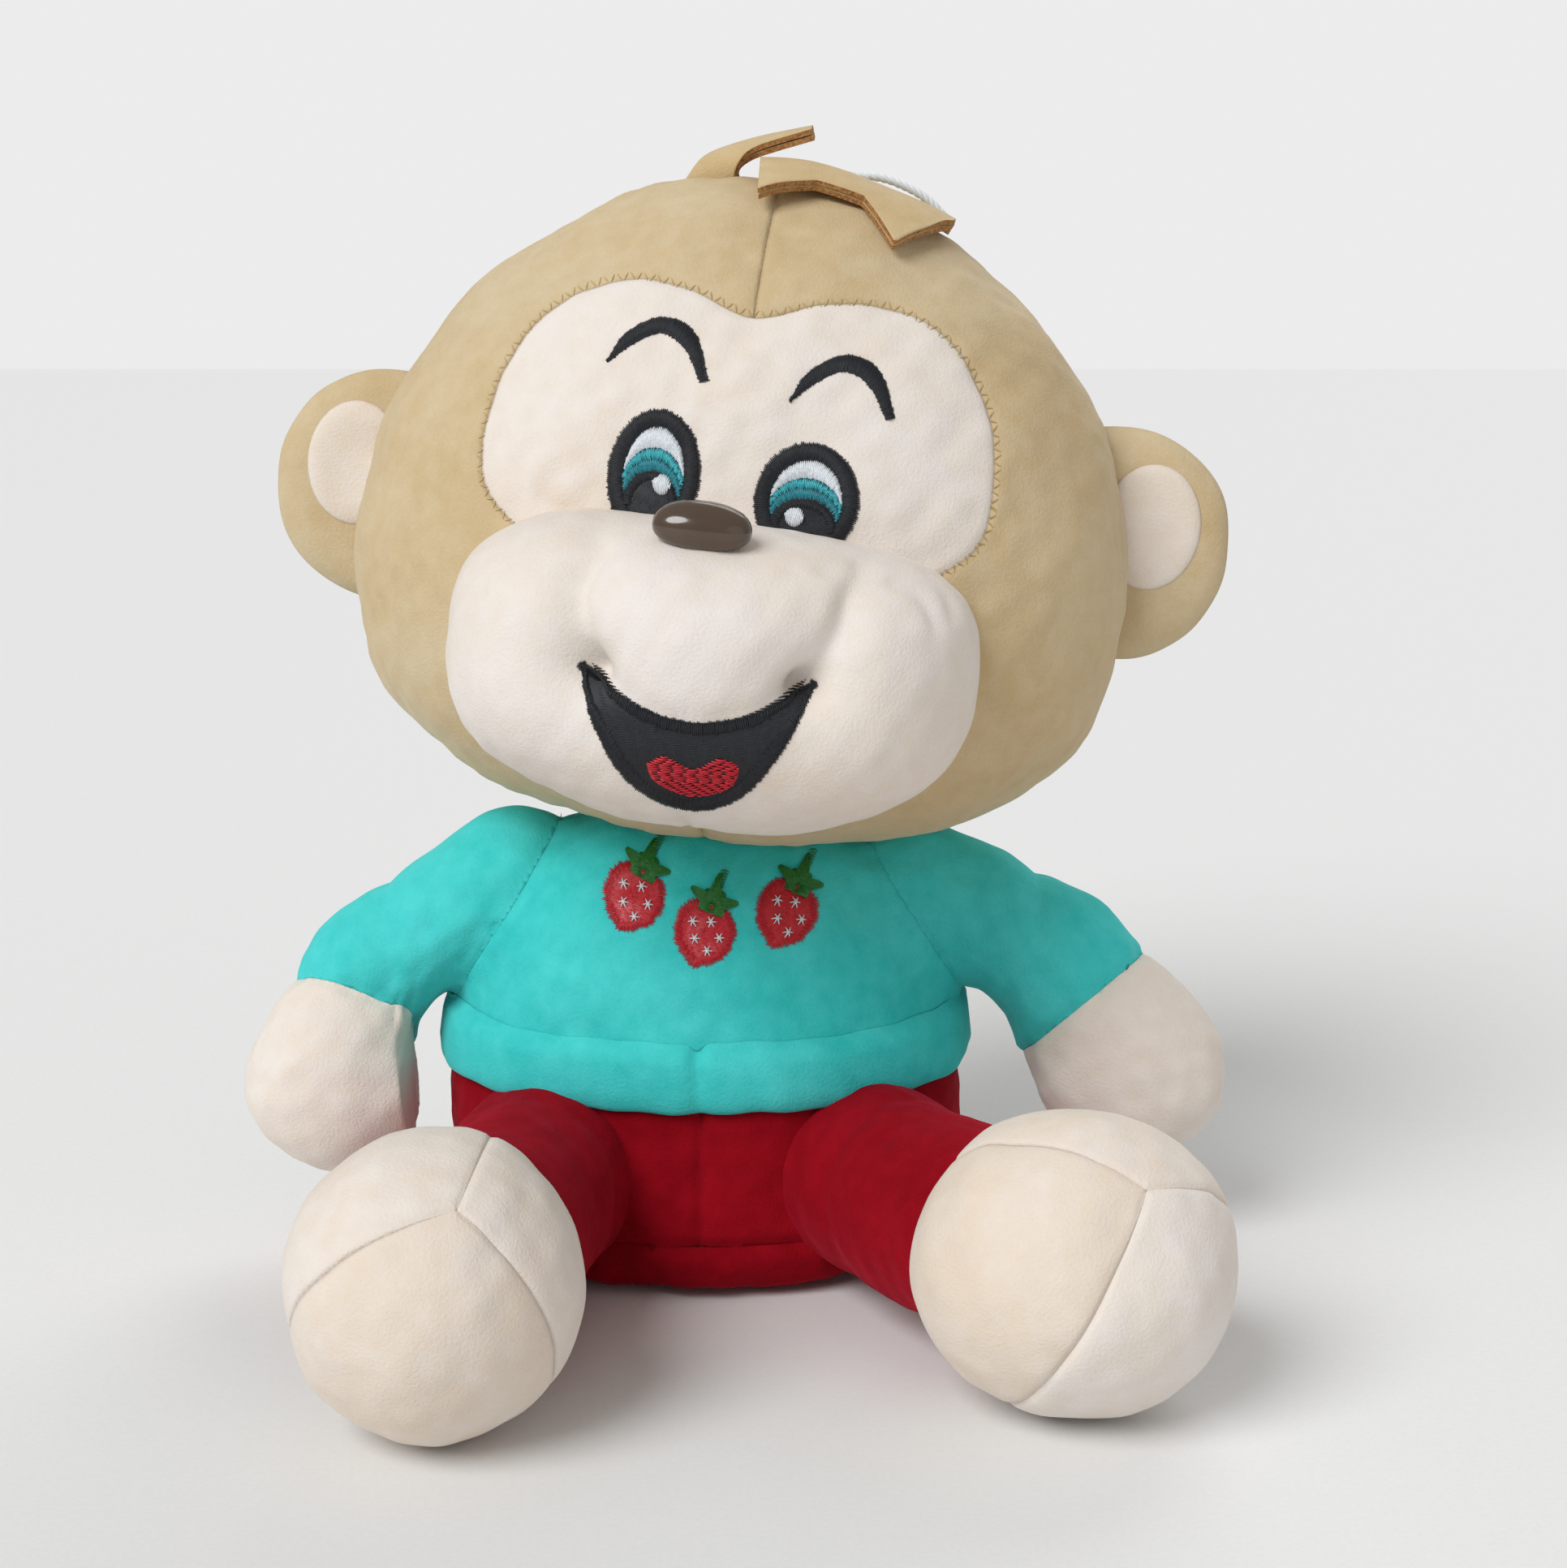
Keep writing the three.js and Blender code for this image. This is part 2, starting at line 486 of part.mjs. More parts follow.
both((side, sign) => {
  const pivot = at(sign * EAR.rootX, EAR.y, 0);
  const room = sweptAgainst(headForm(JOINT_CLEARANCE), pivot, Z, EAR_FLEX.map((angle) => sign * angle));
  const form = {
    width: EAR.reach, depth: EAR.halfThick, up: EAR.halfHeight, down: EAR.halfHeight,
    upPower: 2.2, downPower: 2.2, planPower: 2, lean: 0, rings: 8, sides: 14,
  };
  const earForm = (grow) => solid(egg(form, grow), shift(sign * EAR.rootX, EAR.y, EAR_Z[side]));
  const outer = earForm(0).subtract(room);
  place(head, `ear_front_${side}`, outer.intersect(behind(Y, EAR.y - GAP / 2)), TAN);
  place(head, `ear_back_${side}`, outer.intersect(ahead(Y, EAR.y + GAP / 2)), TAN);
  const patchLayer = earForm(GAP + EAR_PATCH.thick).subtract(earForm(GAP)).subtract(room);
  const outline = oval(
    sign * (EAR.rootX + EAR_PATCH.x), EAR_Z[side] + EAR_PATCH.z, EAR_PATCH.halfWidth, EAR_PATCH.halfHeight,
  );
  place(head, `ear_patch_${side}`, patchLayer.intersect(prism(outline, "Y", -BIG, EAR.y)), CREAM);
});

const fringeLayer = headForm(HAIR.lift + HAIR.thick).subtract(headForm(HAIR.lift));
place(head, "hair_fringe", fringeLayer.intersect(prism(FRINGE, "Z", 0, BIG)), TAN);
const tuftBack = CROWN_SEAM_Y + HAIR.thick + GAP;
place(head, "hair_tuft", prism(TUFT, "Y", CROWN_SEAM_Y + GAP, tuftBack).subtract(headForm(HAIR.lift)), TAN);

const loopLine = new THREE.CatmullRomCurve3(LOOP.route.map((p) => at(...p)), false, "centripetal");
const cordSection = new THREE.Shape().absarc(0, 0, LOOP.diameter / 2, 0, 2 * Math.PI);
const loopTube = new THREE.ExtrudeGeometry(cordSection, {
  steps: 20, curveSegments: 2, extrudePath: loopLine, bevelEnabled: false,
});
place(head, "hang_loop", solid(loopTube), WHITE_CORD);

// ---------------------------------------------------------------- arms

both((side, sign) => {
  const points = ARMS[side];
  const pivot = pivotOf(points);
  const swing = ARM_LIFT.map((angle) => -sign * angle);
  const line = points.map((p) => at(...p));
  const curve = new THREE.CatmullRomCurve3(line, false, "centripetal");
  const handMiddle = line[3];
  const thumbOut = at(-sign * THUMB.inward, -THUMB.forward, -THUMB.down).normalize();
  const thumbTip = handMiddle.clone().addScaledVector(thumbOut, THUMB.reach);
  const thumbWidths = [[0, THUMB.root, THUMB.root], [1, THUMB.radius, THUMB.radius]];
  const thumbLine = [handMiddle.toArray(), thumbTip.toArray()];
  const thumb = (grow) => limb(thumbLine, thumbWidths, THUMB.radius, grow, Y, 6, 8);
  const arm = (grow) => limb(points, ARM_WIDTHS, HAND_TIP, grow);
  const clearOf = (body) => sweptAgainst(body, pivot, Y, swing);
  const headRoom = clearOf(headSweep);
  const trunkRoom = clearOf(trunk);
  const room = trunkRoom.add(headRoom);
  const seat = ball(pivot, ARM_RADIUS);
  const cuff = (offset) => {
    const out = curve.getTangentAt(CUFF_AT);
    return beyond(curve.getPointAt(CUFF_AT).addScaledVector(out, offset), out);
  };
  const skin = solid(arm(0)).subtract(solid(arm(-FABRIC))).subtract(room);
  place(monkey, `sleeve_${side}`, skin.subtract(cuff(0)), TURQUOISE);
  const handOuter = solid(arm(0)).add(solid(thumb(0)));
  const handInner = solid(arm(-FABRIC)).add(solid(thumb(-FABRIC)));
  place(monkey, `hand_${side}`, handOuter.subtract(handInner).intersect(cuff(GAP)), CREAM);
  const filling = solid(arm(-FABRIC - GAP)).add(solid(thumb(-FABRIC - GAP)).intersect(cuff(0)));
  const fillingRoom = trunkRoom.subtract(seat).add(headRoom);
  place(monkey, `arm_stuffing_${side}`, filling.subtract(fillingRoom), FILLING);
});

// ---------------------------------------------------------------- legs and feet

both((side) => {
  const points = LEGS[side];
  const pivot = pivotOf(points);
  const foot = FOOT[side];
  const line = points.map((p) => at(...p));
  const curve = new THREE.CatmullRomCurve3(line, false, "centripetal");
  const footMiddle = line.at(-1);
  const widths = [[0, LEG_RADIUS, LEG_RADIUS], [1, ANKLE.halfWidth, ANKLE.halfHeight]];
  const leg = (grow) => solid(limb(points, widths, LEG_RADIUS, grow, Z));
  const footBall = (grow) => solid(
    new THREE.SphereGeometry(1, 18, 10).scale(foot.wide + grow, foot.radius + grow, foot.radius + grow),
    shift(...points.at(-1)),
  );
  const swing = LEG_LIFT.map((angle) => -angle);
  const room = sweptAgainst(trunk, pivot, X, swing);
  const out = curve.getTangentAt(ANKLE_AT);
  const ankle = (offset) => beyond(curve.getPointAt(ANKLE_AT).addScaledVector(out, offset), out);
  const past = ankle(GAP);
  place(monkey, `trouser_leg_${side}`, leg(0).subtract(leg(-FABRIC)).subtract(ankle(0)).subtract(room), RED);

  const footShell = footBall(0).subtract(footBall(-FABRIC)).intersect(past);
  const aim = at(...FOOT_SEAM_AIM[side]).normalize();
  const seamSide = new THREE.Vector3().crossVectors(Z, aim).normalize();
  const seamUp = new THREE.Vector3().crossVectors(aim, seamSide).normalize();
  const spoke = (angle) => seamSide.clone().multiplyScalar(Math.cos(rad(angle)))
    .addScaledVector(seamUp, Math.sin(rad(angle)));
  const panels = FOOT_SEAMS[side].map((from, k, seams) => {
    const to = seams[(k + 1) % seams.length];
    const afterFrom = spoke(from + 90);
    const beforeTo = spoke(to - 90);
    return beyond(footMiddle.clone().addScaledVector(afterFrom, GAP / 2), afterFrom)
      .intersect(beyond(footMiddle.clone().addScaledVector(beforeTo, GAP / 2), beforeTo));
  });
  panels.forEach((panel, k) => {
    place(monkey, `foot_${FOOT_PANELS[side][k]}_${side}`, footShell.intersect(panel), CREAM);
  });
  const fillWidths = [
    [0, LEG_RADIUS, LEG_RADIUS],
    [ANKLE_AT - FILL_SWELL, LEG_RADIUS, LEG_RADIUS],
    [1, foot.wide - FOOT_SLACK, foot.radius - FOOT_SLACK],
  ];
  const filling = solid(limb(points, fillWidths, foot.radius - FOOT_SLACK, -FABRIC - GAP, Z));
  const seat = ball(pivot, LEG_RADIUS);
  place(monkey, `leg_stuffing_${side}`, filling.subtract(room.subtract(seat)), FILLING);
});

export default monkey;
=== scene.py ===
# A seated plush monkey in short velour, built the way it is sewn: filled forms under cut panels.
# Lengths in each section are millimetres unless a name ends in _m; the finished meshes are metres.
import json
import math

import bmesh
import bpy
import numpy as np
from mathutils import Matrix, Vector
from mathutils.bvhtree import BVHTree
from mathutils.kdtree import KDTree


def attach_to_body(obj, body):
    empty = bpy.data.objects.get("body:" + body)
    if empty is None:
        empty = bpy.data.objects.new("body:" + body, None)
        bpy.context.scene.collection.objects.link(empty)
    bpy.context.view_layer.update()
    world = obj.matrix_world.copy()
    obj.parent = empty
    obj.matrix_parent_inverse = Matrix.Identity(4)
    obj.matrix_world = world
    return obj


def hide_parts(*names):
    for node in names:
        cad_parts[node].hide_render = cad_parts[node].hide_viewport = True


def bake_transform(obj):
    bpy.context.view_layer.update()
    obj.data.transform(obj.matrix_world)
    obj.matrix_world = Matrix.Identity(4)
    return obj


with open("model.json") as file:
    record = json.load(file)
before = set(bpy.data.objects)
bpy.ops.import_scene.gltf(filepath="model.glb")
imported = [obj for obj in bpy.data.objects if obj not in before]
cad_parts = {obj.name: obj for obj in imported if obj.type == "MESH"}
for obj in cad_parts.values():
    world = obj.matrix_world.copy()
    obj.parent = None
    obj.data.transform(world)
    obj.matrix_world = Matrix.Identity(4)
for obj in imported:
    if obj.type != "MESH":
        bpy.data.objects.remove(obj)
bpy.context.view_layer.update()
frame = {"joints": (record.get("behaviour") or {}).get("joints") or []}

# ------------------------------------------------------------------ stage, camera and light
# A pale floor under the toy, broad soft daylight from high on its right, weak light from behind, a
# little bounce from its left, and the camera a little above the toy's eye line.

MM = 0.001
EYE_LEVEL_TILT = math.radians(12)
CAMERA_DISTANCE_M = 0.6236
CAMERA_TARGET_M = Vector((0.019, 0.0, 0.110))

camera = bpy.data.objects.new("camera", bpy.data.cameras.new("camera"))
camera.data.lens = 60
camera.data.sensor_width = 36
camera.data.clip_start = 0.01
view_line = Vector((0, -math.cos(EYE_LEVEL_TILT), math.sin(EYE_LEVEL_TILT)))
camera.location = CAMERA_TARGET_M + view_line * CAMERA_DISTANCE_M
camera.rotation_euler = (math.pi / 2 - EYE_LEVEL_TILT, 0, 0)
bpy.context.collection.objects.link(camera)
bpy.context.scene.camera = camera
bpy.context.scene.view_settings.view_transform = "Standard"


LIT_SPOT_M = Vector((0, -0.02, 0.12))


def lamp(name, place_m, softness, strength, colour):
    light = bpy.data.lights.new(name, "SUN")
    light.angle = math.radians(softness)
    light.energy = strength
    light.color = colour
    thing = bpy.data.objects.new(name, light)
    thing.location = place_m
    aim = LIT_SPOT_M - Vector(place_m)
    thing.rotation_euler = aim.to_track_quat("-Z", "Y").to_euler()
    bpy.context.collection.objects.link(thing)


lamp("key_lamp", (-0.75, -0.85, 1.15), 34, 2.1, (0.985, 0.995, 1.0))
lamp("fill_lamp", (1.0, -0.9, 0.45), 50, 0.15, (1.0, 0.93, 0.85))
lamp("back_lamp", (0.35, 0.9, 0.9), 40, 0.75, (1.0, 1.0, 1.0))
world = bpy.data.worlds.new("studio")
bpy.context.scene.world = world
world.use_nodes = True
sky, sky_links = world.node_tree.nodes, world.node_tree.links
sky["Background"].inputs["Color"].default_value = (1, 1, 1, 1)
AMBIENT, BACKDROP = 0.37, 0.84  # the soft light from all round, and the pale backdrop behind the toy
seen, level = sky.new("ShaderNodeLightPath"), sky.new("ShaderNodeMapRange")
level.inputs["To Min"].default_value, level.inputs["To Max"].default_value = AMBIENT, BACKDROP
sky_links.new(seen.outputs["Is Camera Ray"], level.inputs["Value"])
sky_links.new(level.outputs["Result"], sky["Background"].inputs["Strength"])


def new_material(name):
    material = bpy.data.materials.new(name)
    material.use_nodes = True
    return material, material.node_tree, material.node_tree.nodes["Principled BSDF"]


def mottled(name, low, high, scale, roughness, detail=2.0, stops=(0.0, 1.0)):
    """A finish whose colour drifts between two linear tones with fine noise."""
    material, tree, shader = new_material(name)
    place = tree.nodes.new("ShaderNodeTexCoord")
    noise = tree.nodes.new("ShaderNodeTexNoise")
    noise.inputs["Scale"].default_value = scale
    noise.inputs["Detail"].default_value = detail
    tone = tree.nodes.new("ShaderNodeValToRGB")
    for element, stop, colour in zip(tone.color_ramp.elements, stops, (low, high)):
        element.position, element.color = stop, (*colour, 1)
    tree.links.new(place.outputs["Object"], noise.inputs["Vector"])
    tree.links.new(noise.outputs["Fac"], tone.inputs["Fac"])
    tree.links.new(tone.outputs["Color"], shader.inputs["Base Color"])
    shader.inputs["Roughness"].default_value = roughness
    return material, shader, noise


def raise_by(noise, shader, distance, strength=None):
    """Lets the same noise raise the surface, by up to a distance in metres."""
    tree = noise.id_data
    bump = tree.nodes.new("ShaderNodeBump")
    bump.inputs["Distance"].default_value = distance
    if strength is not None:
        bump.inputs["Strength"].default_value = strength
    tree.links.new(noise.outputs["Fac"], bump.inputs["Height"])
    tree.links.new(bump.outputs["Normal"], shader.inputs["Normal"])


floor_finish, _, _ = mottled("pale_floor", (0.78, 0.78, 0.775), (0.84, 0.84, 0.835), 900, 0.9)
FLOOR_HALF_M, FLOOR_DROP_M = 4.0, 0.0002
floor_mesh = bpy.data.meshes.new("floor")
corners = [(-1, -1), (1, -1), (1, 1), (-1, 1)]
floor_mesh.from_pydata([(x * FLOOR_HALF_M, y * FLOOR_HALF_M, -FLOOR_DROP_M) for x, y in corners], [],
                       [(0, 1, 2, 3)])
floor_mesh.materials.append(floor_finish)
floor = bpy.data.objects.new("floor", floor_mesh)
bpy.context.collection.objects.link(floor)

# ------------------------------------------------------------------ hanging loop
# A white twisted cord of three plies, doubled into a small loop whose two ends are caught in the crown
# seam behind the fringe. It springs out of the seam and leans back on the head.

JOINTS = {joint["name"]: joint for joint in frame["joints"]}


def direction(joint_name):
    axis = np.array(JOINTS[joint_name]["axis"], float)
    return axis / np.linalg.norm(axis)


NECK_PIVOT = np.array(JOINTS["head_turn"]["pos_m"], float) / MM
HEAD_UP = direction("ear_fold_right")
HEAD_LEFT = direction("tuft_bend")
HEAD_BACK = np.cross(HEAD_UP, HEAD_LEFT)
HEAD_TURNED = np.stack([HEAD_LEFT, HEAD_BACK, HEAD_UP])  # rows: the head's own X, Y and Z
HEAD_RISE = 73.0
HEAD_CENTRE = NECK_PIVOT + HEAD_UP * HEAD_RISE


def from_head(points):
    """Points in the head's own frame, moved into the toy's frame."""
    return HEAD_CENTRE + np.asarray(points, float) @ HEAD_TURNED


def add_object(name, mesh, material):
    mesh.materials.clear()
    mesh.materials.append(material)
    thing = bpy.data.objects.new(f"sewn_{name}", mesh)
    bpy.context.collection.objects.link(thing)
    return thing


def sewn(name, points, faces, material, smooth=True):
    """A closed piece from points in millimetres: doubles merged, faces pointing out."""
    mesh = bpy.data.meshes.new(name)
    mesh.from_pydata((np.asarray(points) * MM).tolist(), [], [list(map(int, f)) for f in faces])
    bm = bmesh.new()
    bm.from_mesh(mesh)
    bmesh.ops.remove_doubles(bm, verts=bm.verts, dist=1e-6)
    bmesh.ops.dissolve_degenerate(bm, edges=bm.edges, dist=1e-7)
    bmesh.ops.recalc_face_normals(bm, faces=bm.faces)
    for face in bm.faces:
        face.smooth = smooth
    bm.to_mesh(mesh)
    bm.free()
    return add_object(name, mesh, material)


def attach(thing, body, slot, *nodes):
    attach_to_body(thing, body)
    if nodes:
        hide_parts(*nodes)


def grid_faces(ids):
    return np.stack([ids[:-1, :-1], ids[:-1, 1:], ids[1:, 1:], ids[1:, :-1]], -1).reshape(-1, 4)


def around(ids):
    """Faces between rings of points, each ring closed on itself."""
    return grid_faces(np.concatenate([ids, ids[:, :1]], axis=1))


def smooth_path(points, count):
    """An even run of points along a smooth curve through the given ones."""
    knots = np.asarray(points, float)
    ends = np.concatenate([[2 * knots[0] - knots[1]], knots, [2 * knots[-1] - knots[-2]]])
    fine = []
    for a, b, c, d in zip(ends, ends[1:], ends[2:], ends[3:]):
        for t in np.linspace(0, 1, 24, endpoint=False):
            fine.append(0.5 * (2 * b + (c - a) * t + (2 * a - 5 * b + 4 * c - d) * t ** 2
                               + (3 * b - a - 3 * c + d) * t ** 3))
    fine = np.array(fine + [knots[-1]])
    reach = np.concatenate([[0], np.cumsum(np.linalg.norm(np.diff(fine, axis=0), axis=1))])
    at = np.linspace(0, reach[-1], count)
    return np.stack([np.interp(at, reach, fine[:, k]) for k in range(3)], -1)


def tube(path, radius, sides):
    """Points and faces of a round tube along a path, with both ends closed."""
    tangent = np.gradient(path, axis=0)
    tangent /= np.linalg.norm(tangent, axis=1)[:, None]
    side = np.cross(tangent[0], [0.3, 0.2, 1.0])
    rings = []
    for middle, t in zip(path, tangent):
        side = side - t * (side @ t)
        side /= np.linalg.norm(side)
        other = np.cross(t, side)
        turn = np.linspace(0, 2 * np.pi, sides, endpoint=False)[:, None]
        rings.append(middle + radius * (np.cos(turn) * side + np.sin(turn) * other))
    rings = np.array(rings)
    ids = np.arange(len(path) * sides).reshape(len(path), sides)
    faces = around(ids).tolist()
    return rings, faces + [ids[0][::-1].tolist(), ids[-1].tolist()]


LOOP_ROUTE = [(14, 10, 78), (22, 11, 78.4), (31, 12.4, 75.6), (37.6, 14.6, 70.6),
              (36.6, 17.6, 69), (29, 17.4, 71.8), (21, 16, 75), (14, 13.4, 77.4)]
PLY_RADIUS = 0.62
PLY_OFFSET = 0.48
LAY_LENGTH = 5.2

cord_white, shader, strands = mottled("twisted_white_cord", (0.70, 0.75, 0.79), (0.93, 0.95, 0.96), 2600,
                                      0.5)
shader.inputs["Sheen Weight"].default_value = 0.25
raise_by(strands, shader, 0.00008)

LOOP_STEPS, PLIES, PLY_SIDES = 90, 3, 8
loop_path = from_head(smooth_path(LOOP_ROUTE, LOOP_STEPS))
loop_length = float(np.linalg.norm(np.diff(loop_path, axis=0), axis=1).sum())
tangent = np.gradient(loop_path, axis=0)
tangent /= np.linalg.norm(tangent, axis=1)[:, None]
side = np.cross(tangent, HEAD_UP)
side /= np.linalg.norm(side, axis=1)[:, None]
other = np.cross(tangent, side)
points, faces = [], []
for ply in range(PLIES):
    turn = (np.linspace(0, loop_length / LAY_LENGTH, LOOP_STEPS) + ply / PLIES)[:, None] * 2 * np.pi
    ply_path = loop_path + PLY_OFFSET * (np.cos(turn) * side + np.sin(turn) * other)
    ply_rings, ply_faces = tube(ply_path, PLY_RADIUS, PLY_SIDES)
    first = ply * LOOP_STEPS * PLY_SIDES
    faces += [[first + i for i in face] for face in ply_faces]
    points.append(ply_rings.reshape(-1, 3))
hang_loop = sewn("hang_loop_cord", np.concatenate(points), faces, cord_white)
attach(hang_loop, "loop", "white_cord", "hang_loop")

# ------------------------------------------------------------------ body: shirt, sleeves, hands, trunk
# One filled skin: turquoise shirt with set-in sleeves, cream mitten hands closed at the cuffs, deep red
# trousers sewn to a round seat panel. Each seam pulls the velour into a shallow groove with small puckers.


def velour_group():
    """Cut pile: a colour between the lit velour and the velour in painted shade, set by random patches where
    the pile lies another way, fine grain and each panel's level of painted light and shade; and the height of
    the pile.
    """
    group = bpy.data.node_groups.new("velour_pile", "ShaderNodeTree")
    face = group.interface
    # Lit Nap is the velour in light; Dark Shaded Nap is the same velour in painted shade.
    for name, value in (("Lit Nap", (0.8, 0.8, 0.8, 1)), ("Dark Shaded Nap", (0.5, 0.5, 0.5, 1))):
        face.new_socket(name=name, in_out="INPUT", socket_type="NodeSocketColor").default_value = value
    for name, value in (("Patch Scale", 26.0), ("Grain Scale", 1500.0), ("Grain Strength", 0.35)):
        face.new_socket(name=name, in_out="INPUT", socket_type="NodeSocketFloat").default_value = value
    face.new_socket(name="Color", in_out="OUTPUT", socket_type="NodeSocketColor")
    face.new_socket(name="Height", in_out="OUTPUT", socket_type="NodeSocketFloat")
    add = group.nodes.new
    link = group.links.new
    inward, outward = add("NodeGroupInput"), add("NodeGroupOutput")
    place = add("ShaderNodeTexCoord")
    patches, grain, strokes = (add("ShaderNodeTexNoise") for _ in range(3))
    patches.inputs["Detail"].default_value = 3.0
    patches.inputs["Distortion"].default_value = 0.6
    strokes.inputs["Scale"].default_value = 210.0
    strokes.inputs["Detail"].default_value = 4.0
    grain.inputs["Detail"].default_value = 2.0
    nap_shade_level = add("ShaderNodeAttribute")
    nap_shade_level.attribute_name = "nap_shade_level"
    for noise in (patches, grain, strokes):
        link(place.outputs["Object"], noise.inputs["Vector"])
    link(inward.outputs["Patch Scale"], patches.inputs["Scale"])
    link(inward.outputs["Grain Scale"], grain.inputs["Scale"])

    def sum_of(a, b, operation="ADD"):
        node = add("ShaderNodeMath")
        node.operation = operation
        for socket, value in zip(node.inputs, (a, b)):
            if isinstance(value, float):
                socket.default_value = value
            else:
                link(value, socket)
        return node.outputs[0]

    patch_level = sum_of(sum_of(patches.outputs["Fac"], -0.5), 1.5, "MULTIPLY")
    stroke_level = sum_of(sum_of(strokes.outputs["Fac"], -0.5), 0.9, "MULTIPLY")
    grain_level = sum_of(sum_of(grain.outputs["Fac"], -0.5), inward.outputs["Grain Strength"], "MULTIPLY")
    # Each panel's level of painted light and shade is added to the random patches, strokes and grain.
    level = sum_of(sum_of(sum_of(patch_level, stroke_level), grain_level), nap_shade_level.outputs["Fac"])
    mix = add("ShaderNodeMix")
    mix.data_type = "RGBA"
    link(level, mix.inputs["Factor"])
    link(inward.outputs["Dark Shaded Nap"], mix.inputs[6])
    link(inward.outputs["Lit Nap"], mix.inputs[7])
    link(mix.outputs[2], outward.inputs["Color"])
    height = sum_of(grain.outputs["Fac"], sum_of(strokes.outputs["Fac"], 0.6, "MULTIPLY"))
    link(height, outward.inputs["Height"])
    return group


VELOUR = velour_group()


def velour(name, lit, dark, sheen_tint, grain=0.35):
    """A velour finish. Colours are linear red, green and blue: lit is the velour in light and dark the same
    velour in painted shade; the group keeps its own patch size.
    """
    material, tree, shader = new_material(name)
    pile = tree.nodes.new("ShaderNodeGroup")
    pile.node_tree = VELOUR
    pile.inputs["Lit Nap"].default_value = (*lit, 1)
    pile.inputs["Dark Shaded Nap"].default_value = (*dark, 1)
    pile.inputs["Grain Strength"].default_value = grain
    bump = tree.nodes.new("ShaderNodeBump")
    bump.inputs["Strength"].default_value = 0.5
    bump.inputs["Distance"].default_value = 0.00035
    tree.links.new(pile.outputs["Color"], shader.inputs["Base Color"])
    tree.links.new(pile.outputs["Height"], bump.inputs["Height"])
    tree.links.new(bump.outputs["Normal"], shader.inputs["Normal"])
    shader.inputs["Roughness"].default_value = 0.95
    shader.inputs["Specular IOR Level"].default_value = 0.08
    shader.inputs["Sheen Weight"].default_value = 0.25
    shader.inputs["Sheen Roughness"].default_value = 0.45
    shader.inputs["Sheen Tint"].default_value = (*sheen_tint, 1)
    return material


# Each velour gets its lit colour and the same cloth's colour in painted shade.
turquoise_velour = velour("turquoise_velour", (0.08, 0.66, 0.65), (0.02, 0.50, 0.485), (0.4, 1.0, 1.0))
cream_velour = velour("cream_velour", (0.83, 0.775, 0.73), (0.78, 0.66, 0.54), (1.0, 0.96, 0.92), 0.25)
red_velour = velour("red_velour", (0.34, 0.004, 0.012), (0.20, 0.001, 0.006), (1.0, 0.06, 0.12), 0.3)


def waves(points, length, seed, count=7):
    """Smooth lumps between about -1 and 1, of the given wavelength in millimetres."""
    draw = np.random.default_rng(seed)
    total = np.zeros(len(points))
    for _ in range(count):
        way = draw.normal(size=3)
        way *= 2 * np.pi / (length * draw.uniform(0.7, 1.4) * np.linalg.norm(way))
        total += np.sin(points @ way + draw.uniform(0, 2 * np.pi))
    return total / np.sqrt(count)


def reach_of(form, rays):
    """How far the surface of a stuffed form lies from its centre along each ray."""
    plan = (np.abs(rays[:, 0] / form["width"]) ** form["plan"]
            + np.abs(rays[:, 1] / form["depth"]) ** form["plan"]) ** (1 / form["plan"])
    above = rays[:, 2] > 0
    fullness = np.where(above, form["up_power"], form["down_power"])
    tall = np.where(above, form["up"], form["down"])
    return (np.abs(rays[:, 2] / tall) ** fullness + plan ** fullness) ** (-1 / fullness)


def blob(form, centre, rows, sides):
    """Points and faces of a closed stuffed form."""
    tilt = np.linspace(-np.pi / 2, np.pi / 2, rows + 1)[:, None]
    turn = np.linspace(0, 2 * np.pi, sides, endpoint=False)[None]
    rays = np.stack([np.cos(tilt) * np.cos(turn), np.cos(tilt) * np.sin(turn), np.sin(tilt) + 0 * turn], -1)
    rays = rays.reshape(-1, 3)
    points = rays * reach_of(form, rays)[:, None]
    low = points[:, 2] < 0
    points[low, 1] -= form.get("lean", 0) * (points[low, 2] / form["down"]) ** 2
    ids = np.arange((rows + 1) * sides).reshape(rows + 1, sides)
    return points + centre, around(ids)


